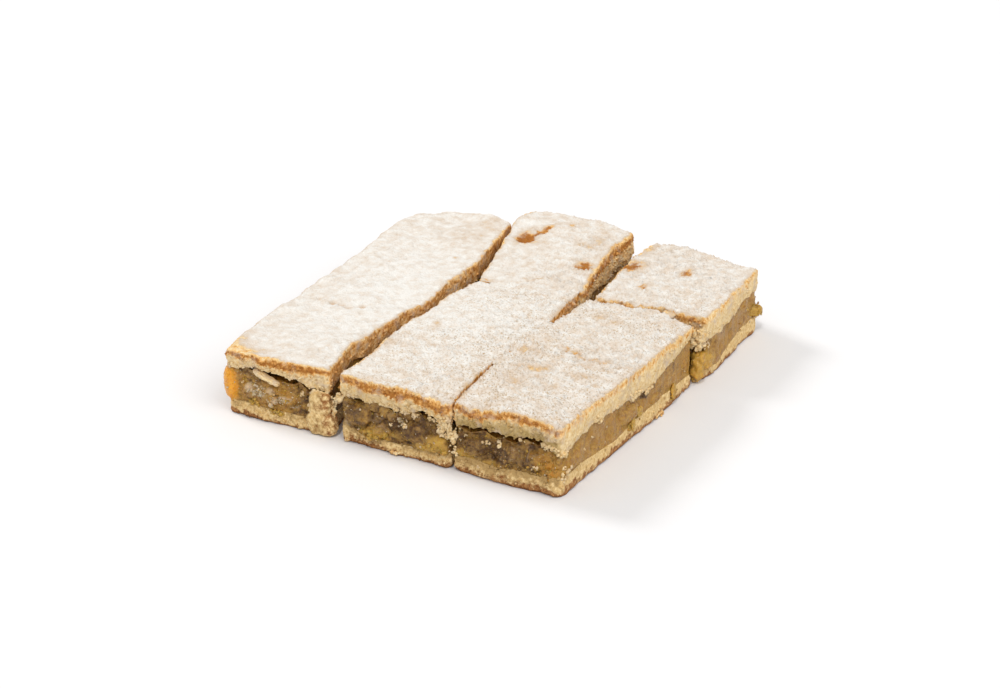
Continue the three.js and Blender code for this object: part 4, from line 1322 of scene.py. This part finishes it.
# Named crumbs and bits of apple on the cuts: side, middle along and up, half sizes, how many lumps,
# smallest and largest radius, how far out they lie, and how brown or which apple mask.
crumbClusters = [
    ("front", (56.6, 18.6), (1.8, 2.2), 22, (0.5, 1.2), 0.5, 0.1),
    ("front", (107.6, 18), (3.6, 5.4), 90, (0.5, 1.3), 0.3, 0.15),
    ("front", (101.5, 19.6), (2.0, 1.0), 10, (0.4, 0.8), 0.2, 0.1),
    ("front", (84.9, 20.3), (1.2, 0.7), 6, (0.4, 0.9), 0.6, 0.0),
    ("front", (89.5, 15.1), (1.1, 1.0), 6, (0.4, 0.9), 0.7, 0.0),
    ("front", (93.4, 19.2), (2.4, 1.0), 12, (0.5, 1.1), 0.7, 0.0),
    ("front", (82.3, 13.0), (0.8, 0.5), 4, (0.3, 0.6), 0.6, 0.0),
    ("front", (117.2, 16.1), (1.2, 0.7), 5, (0.4, 0.8), 0.6, 0.0),
    ("front", (127.8, 16.5), (1.4, 0.8), 7, (0.4, 0.9), 0.6, 0.1),
    ("front", (134.1, 17.6), (1.2, 0.9), 6, (0.4, 0.9), 0.6, 0.0),
    ("front", (143.5, 20.8), (1.4, 0.8), 6, (0.4, 0.9), 0.6, 0.1),
    ("front", (124.1, 5.0), (1.0, 0.6), 4, (0.4, 0.8), 0.4, 0.0),
    ("front", (150.7, 11.7), (1.2, 0.8), 5, (0.4, 0.8), 0.6, 0.0),
    ("front", (38.2, 16.2), (1.6, 0.9), 8, (0.4, 0.8), 0.6, 0.1),
    ("front", (8.6, 15.5), (0.7, 0.4), 3, (0.3, 0.5), 0.6, 0.0),
    ("front", (61.2, 1.0), (1.2, 0.4), 5, (0.5, 0.9), 0.6, 0.6),
    ("front", (84.3, 1.2), (2.0, 0.5), 8, (0.5, 1.0), 0.7, 0.5),
    ("front", (112.5, 12), (1.6, 6), 34, (0.4, 1.1), 0.3, 0.1),
    ("front", (155.5, 20.4), (4.5, 1.6), 40, (0.4, 1.2), 0.3, 0.15),
    ("right", (2.5, 18.4), (3.0, 1.4), 24, (0.4, 1.1), 0.3, 0.1),
    ("right", (20, 13.3), (0.8, 0.5), 3, (0.3, 0.6), 0.4, 0.0),
    ("right", (27, 16.1), (1.2, 0.6), 5, (0.3, 0.7), 0.4, 0.0),
    ("right", (34, 20.0), (1.6, 0.8), 8, (0.3, 0.8), 0.4, 0.0),
    ("right", (49, 20.6), (2.2, 0.8), 10, (0.3, 0.8), 0.4, 0.0),
    ("right", (66, 18.2), (6.0, 1.6), 44, (0.4, 1.1), 0.5, 0.05),
    ("right", (76, 17.0), (5.0, 1.0), 24, (0.4, 0.9), 0.5, 0.0),
    ("right", (88, 1.2), (5.0, 0.5), 16, (0.4, 0.9), 0.6, 0.5),
    ("right", (5, 9), (3.0, 4.0), 24, (0.4, 1.0), 0.3, 0.2),
    # Painted glints: the pale bits on the wet filling of the left slice's front.
    ("front", (16, 13.8), (4.6, 3.0), 46, (0.4, 0.95), 0.1, "pearl"),
    ("front", (26, 11.4), (5.0, 2.4), 26, (0.35, 0.8), 0.2, "pearl"),
    ("front", (30, 10.5), (6.0, 3.0), 40, (0.25, 0.6), 0.1, "light"),
    ("front", (31, 11), (7.0, 3.4), 14, (0.2, 0.4), 0.3, "pearl"),
    ("front", (43.0, 13.4), (1.2, 5.2), 40, (0.4, 1.0), 0.8, 0.1),
    ("front", (46.6, 18.4), (4.0, 1.0), 30, (0.4, 1.0), 0.8, 0.1),
    ("front", (47.4, 5), (6.2, 4.6), 90, (0.4, 1.1), 2.0, 0.3),
    ("front", (52.4, 13), (1.2, 5.0), 34, (0.4, 1.0), 0.8, 0.3),
    ("front", (24, 9), (0.5, 0.9), 3, (0.7, 1.0), 0.8, "pearl"),
    ("front", (14, 8), (2.6, 1.4), 14, (0.6, 1.2), 0.2, "yellow"),
    ("front", (26, 5.6), (3.4, 1.2), 14, (0.6, 1.2), 0.3, "yellow"),
    ("front", (75, 7.0), (5.0, 1.8), 34, (0.6, 1.5), 0.3, "yellow"),
    ("front", (104, 7.6), (5.4, 3.6), 16, (0.6, 1.4), 0.1, "yellow"),
    ("front", (86, 15), (4.0, 1.0), 20, (0.4, 0.9), 0.4, "pearl"),
    ("front", (136, 14), (5.0, 3.4), 14, (0.3, 0.8), 0.1, "grey"),
    ("front", (155, 12), (4.0, 5.5), 20, (0.4, 1.1), 0.1, "light"),
    ("right", (132.5, 16.4), (2.4, 1.4), 12, (0.5, 1.1), 0.6, 0.0),
    ("right", (130.4, 21.6), (2.6, 3.6), 110, (0.6, 1.6), 0.2, 0.2),
    ("right", (128.0, 20.4), (1.5, 4.4), 150, (0.6, 1.6), -2.6, 0.2),
    ("right", (89.4, 0.6), (1.6, 0.3), 6, (0.5, 0.9), 1.2, 0.6),
    ("right", (102, 4.6), (4.0, 2.4), 12, (0.5, 0.9), 0.4, "yellow"),
    ("right", (67, 9.0), (2.6, 4.0), 10, (0.4, 0.8), 0.3, "yellow"),
    ("right", (60, 6.8), (2.0, 1.6), 8, (0.5, 1.0), 0.3, "yellow"),
    ("right", (195, 12), (4.6, 2.6), 10, (0.5, 1.0), 1.0, "yellow"),
]


def makeClusters():
    draws = np.random.default_rng(71)
    kinds = {"crust": ([], [], []), "apple": ([], [], [])}
    for side, (along, height), (halfAlong, halfUp), count, (small, large), out, look in crumbClusters:
        at, radii, looks = kinds["apple" if isinstance(look, str) else "crust"]
        turn = draws.uniform(0, 2 * math.pi, count)
        reach = np.sqrt(draws.random(count))
        for k in range(count):
            radius = blend(small, large, draws.random() ** 2)
            up = max(height + halfUp * reach[k] * math.sin(turn[k]), 0.7 * radius + 0.1)
            there = along + halfAlong * reach[k] * math.cos(turn[k])
            at.append(onWall(side, there, up, out * draws.random()))
            radii.append(radius)
            looks.append(look)
    at, radii, looks = kinds["crust"]
    points, quads, triangles, each = smallLumps(np.array(at), np.array(radii), 81, 0.42)
    masks = {"browning": np.repeat(np.array(looks), each), "sugar": np.zeros(len(points))}
    putInMesh("loose_crumbs", points, quads, triangles, masks, crustMaterial)
    at, radii, looks = kinds["apple"]
    points, quads, triangles, each = smallLumps(np.array(at), np.array(radii), 82, 0.42)
    strength = draws.uniform(0.3, 1, len(at))
    masks = {mask: np.repeat(strength * [look == mask for look in looks], each) for mask in appleMasks}
    masks["dark"] = 0.3 * draws.random(len(at)).repeat(each)
    putInMesh("loose_apple", points, quads, triangles, masks, appleMaterial)


makeClusters()


# A closed lump on a sphere grid: unit directions squared up by a power, stretched to half sizes, turned
# about the vertical, tilted across, and roughened by a relief along the way out from its middle.
def lumpPoints(look, relief):
    angles = np.linspace(-math.pi / 2, math.pi / 2, look["rows"] + 2)[1:-1]
    unit, quads, triangles = sphereRings(look["columns"], angles)
    own = np.sign(unit) * np.abs(unit) ** look["power"] * np.array(look["half"])
    x, z = turned(own[:, 0], own[:, 2], -math.radians(look["tilt"]))
    x, y = turned(x, own[:, 1], -math.radians(look["turn"]))
    points = np.column_stack([x, y, z]) + look["at"]
    points += unit * relief(points)[:, None]
    points[:, 2] = np.maximum(points[:, 2], 0.05)
    return points, quads, triangles


# The block of crust that fell against the left slice's cut, and the flake that hangs out under its lid.
brokenCrust = {
    "fallen_block": {"at": (47.6, 2.6, 5.2), "half": (6.6, 3.2, 4.9), "power": 0.45, "tilt": 3, "turn": 0,
                     "columns": 96, "rows": 60},
    "fallen_column": {"at": (47.2, 2.2, 13.6), "half": (5.0, 2.2, 5.4), "power": 0.5, "tilt": -2, "turn": 0,
                      "columns": 96, "rows": 64},
    "hanging_flake": {"at": (20.6, 0.7, 20.4), "half": (7.2, 1.9, 0.9), "power": 0.6, "tilt": -18, "turn": 0,
                      "columns": 64, "rows": 30},
}
for name, look in brokenCrust.items():
    points, quads, triangles = lumpPoints(look, lambda at: 0.7 * crumbRelief(at, 91))
    # toasted is a browned spot in the column's middle and, as painted shade, the darker right sides of the
    # pieces in the corner by the left slice's cut.
    toasted = np.exp(-((((points[:, 0] - 47.4) / 2.2) ** 2 + ((points[:, 2] - 13.4) / 3.0) ** 2) ** 1.5))
    toasted = np.maximum(toasted, 0.9 * smooth(48.6, 51.4, points[:, 0] + 0.1 * points[:, 2]))
    rough = roughNoise(points, 3, 92)
    if name == "hanging_flake":
        masks = {"browning": -0.1 + 0.2 * rough, "sugar": np.zeros(len(points))}
        putInMesh(name, points, quads, triangles, masks, crustMaterial)
    else:
        masks = {"browning": 0.1 + 0.25 * rough + 0.45 * toasted, "soaking": 0.42 + 0.6 * rough}
        putInMesh(name, points, quads, triangles, masks, baseMaterial)

# The big yellow piece of apple that fills the opening between the two right slices, and smaller ones on the
# right cuts: how yellow and how orange each is.
yellowApple = {
    "yellow_apple_piece": {"at": (160.4, 131.0, 7.3), "half": (3.6, 6.6, 7.2), "power": 0.85, "tilt": 0,
                           "turn": 12, "columns": 72, "rows": 44, "tones": (0.6, 0.5)},
    "yellow_apple_leaf": {"at": (162.0, 101.5, 6.2), "half": (0.7, 2.8, 3.6), "power": 0.9, "tilt": 4,
                          "turn": 8, "columns": 40, "rows": 24, "tones": (0.6, 0.5)},
    "yellow_apple_sliver": {"at": (162.0, 68.0, 10.6), "half": (0.6, 2.2, 2.4), "power": 0.9, "tilt": 0,
                            "turn": 0, "columns": 40, "rows": 24, "tones": (0.8, 0.3)},
    "yellow_apple_shred": {"at": (162.0, 62.0, 7.2), "half": (0.6, 1.7, 3.0), "power": 0.9, "tilt": 0,
                           "turn": 0, "columns": 40, "rows": 24, "tones": (0.8, 0.2)},
    "yellow_apple_end": {"at": (162.6, 194.2, 11.8), "half": (1.6, 2.8, 2.0), "power": 0.8, "tilt": 10,
                         "turn": 0, "columns": 40, "rows": 24, "tones": (0.8, 0.6)},
}


# A cooked piece's relief: soft waves and small lumps, both finer and lower on a smaller piece.
def cookedRelief(points, size):
    lumps, _, _ = nearestLumps(points, 3 * size, 94)
    return size * (1.6 * roughNoise(points, 4 * size, 93, 4) + 1.6 * (0.5 - lumps))


for name, look in yellowApple.items():
    size = blend(0.35, 1.0, smooth(0.6, 3.6, look["half"][0]))
    points, quads, triangles = lumpPoints(look, lambda at: cookedRelief(at, size))
    rim = smooth(3.2, 6.0, points[:, 1] - 130.4) * (points[:, 1] < 150)
    streaks = roughNoise(points * [1, 1, 0.4], 2.2, 95)
    masks = {mask: np.zeros(len(points)) for mask in appleMasks}
    masks["yellow"] = look["tones"][0] * (1 - 0.8 * rim)
    masks["orange"] = look["tones"][1] + 0.5 * streaks
    masks["pearl"] = 0.8 * rim
    masks["dark"] = 0.6 * smooth(8, 13, points[:, 2] + 3 * streaks) * (look["half"][2] > 5)
    putInMesh(name, points, quads, triangles, masks, appleMaterial)


# The strips over the bridged joins in millimetres: the points round their section, the step along them,
# how far they lie over both sides of the gap, half their thickness, and over how many steps their ends
# taper.
bridgeShape = {
    "columns": 24,
    "step": 0.5,
    "overlap": 2.2,
    "halfHeight": 0.6,
    "taper": 6,
}


# A strip of sugared crust over a bridged join: a lens in section, its middle level with the slices' own
# tops.
def makeBridge(name, seam):
    look = bridgeShape
    columns, half = look["columns"], look["halfHeight"]
    first, second, *_, lift = seam
    count = round(np.sum(np.hypot(*np.diff(seamLines[name], axis=0).T)) / look["step"])
    middle, halfGap = seamLine(*seam[:5], count + 1)
    along = np.gradient(middle, axis=0)
    along /= np.linalg.norm(along, axis=1)[:, None]
    across = np.stack([-along[:, 1], along[:, 0]], axis=1)
    fromEnd = np.minimum(np.arange(count + 1), count - np.arange(count + 1))
    taper = np.sqrt(np.clip(fromEnd / look["taper"], 0.02, 1))[:, None]
    turn = np.linspace(0, 2 * math.pi, columns, endpoint=False)
    side = np.cos(turn) * (halfGap + look["overlap"])[:, None] * taper
    ring = middle[:, None, :] + side[..., None] * across[:, None, :]
    x, y = ring[..., 0], ring[..., 1]
    level = np.mean([crustTop(slices[k], x, y) for k in (first, second)], axis=0)
    relief, grains = dustedRelief(x, y)
    upper, lens = np.sin(turn) > 0, np.sin(turn) * taper
    height = level + lift - half * np.where(upper, 1 - lens, 1 - 2 * lens) + relief * upper
    ends = [[*middle[k], level[k].mean() - half] for k in (0, -1)]
    points = np.concatenate([np.dstack([ring, height]).reshape(-1, 3), ends])
    starts = [k * columns for k in range(count + 1)]
    quads = bandFaces(starts, columns)[:, ::-1]
    triangles = np.concatenate([fanFaces(0, columns, len(points) - 2, True),
                                fanFaces(starts[-1], columns, len(points) - 1, False)])
    masks = {"sugar": np.append(sugarAt(x, y) + 0.15 * grains + min(lift, 0), [0.6, 0.6]),
             "browning": np.full(len(points), 0.3), "grainShadeAndWarmth": np.append(grainShadeAndWarmthAt(x, y), [0, 0])}
    putInMesh(name, points, quads, triangles, masks, crustMaterial)


for name, seam in bridgedSeams.items():
    makeBridge(name, seam)
print("made the loose pieces")


# The camera: a long lens from in front and to the right, above the pie.
cameraPlace = {"lens": 64.8, "at": (0.37971, -0.65389, 0.32848), "tilt": 66.954, "turn": 29.978}
cameraData = bpy.data.cameras.new("camera")
cameraData.lens = cameraPlace["lens"]
cameraData.sensor_width = 36
camera = bpy.data.objects.new("camera", cameraData)
camera.location = cameraPlace["at"]
camera.rotation_euler = (math.radians(cameraPlace["tilt"]), 0, math.radians(cameraPlace["turn"]))
bpy.context.scene.collection.objects.link(camera)
bpy.context.scene.camera = camera

# Plain white paper under a soft studio light from the left, a broad weaker one from the right, and a
# small one in front that makes the wet filling glint.
lights = {
    "room": 0.5,
    "key": {"strength": 1.33, "angle": 17, "elevation": 38, "azimuth": 262},
    "rightFill": {"strength": 1.27, "angle": 50, "elevation": 47, "azimuth": 72},
    "front": {"strength": 0.98, "angle": 8, "elevation": 49, "azimuth": 18},
}
world = bpy.data.worlds.new("studio")
world.use_nodes = True
world.node_tree.nodes["Background"].inputs["Color"].default_value = (1, 1, 1, 1)
world.node_tree.nodes["Background"].inputs["Strength"].default_value = lights["room"]
bpy.context.scene.world = world


# A soft distant light. Azimuth 0 shines from the front, and 90 from the right.
def addSun(name, settings):
    data = bpy.data.lights.new(name, "SUN")
    data.energy = settings["strength"]
    data.angle = math.radians(settings["angle"])
    sun = bpy.data.objects.new(name, data)
    sun.rotation_euler = (math.radians(90 - settings["elevation"]), 0, math.radians(settings["azimuth"]))
    bpy.context.scene.collection.objects.link(sun)


addSun("key", lights["key"])
addSun("right_fill", lights["rightFill"])
addSun("front", lights["front"])

paper = newMaterial("white_paper")
addNode(paper, "OutputMaterial", {"Surface": addNode(paper, "BsdfPrincipled", {
    "Base Color": "#E8E7E7", "Roughness": 0.9, "Specular IOR Level": 0.1})})
floorMesh = bpy.data.meshes.new("floor")
floorCorners = [(-8, -8, -0.0002), (8, -8, -0.0002), (8, 8, -0.0002), (-8, 8, -0.0002)]
floorMesh.from_pydata(floorCorners, [], [(0, 1, 2, 3)])
floorMesh.materials.append(paper)
floor = bpy.data.objects.new("floor", floorMesh)
bpy.context.scene.collection.objects.link(floor)
print("made the camera, the lights and the floor")

bpy.context.scene.view_settings.view_transform = "Standard"
bpy.context.scene.view_settings.look = "None"
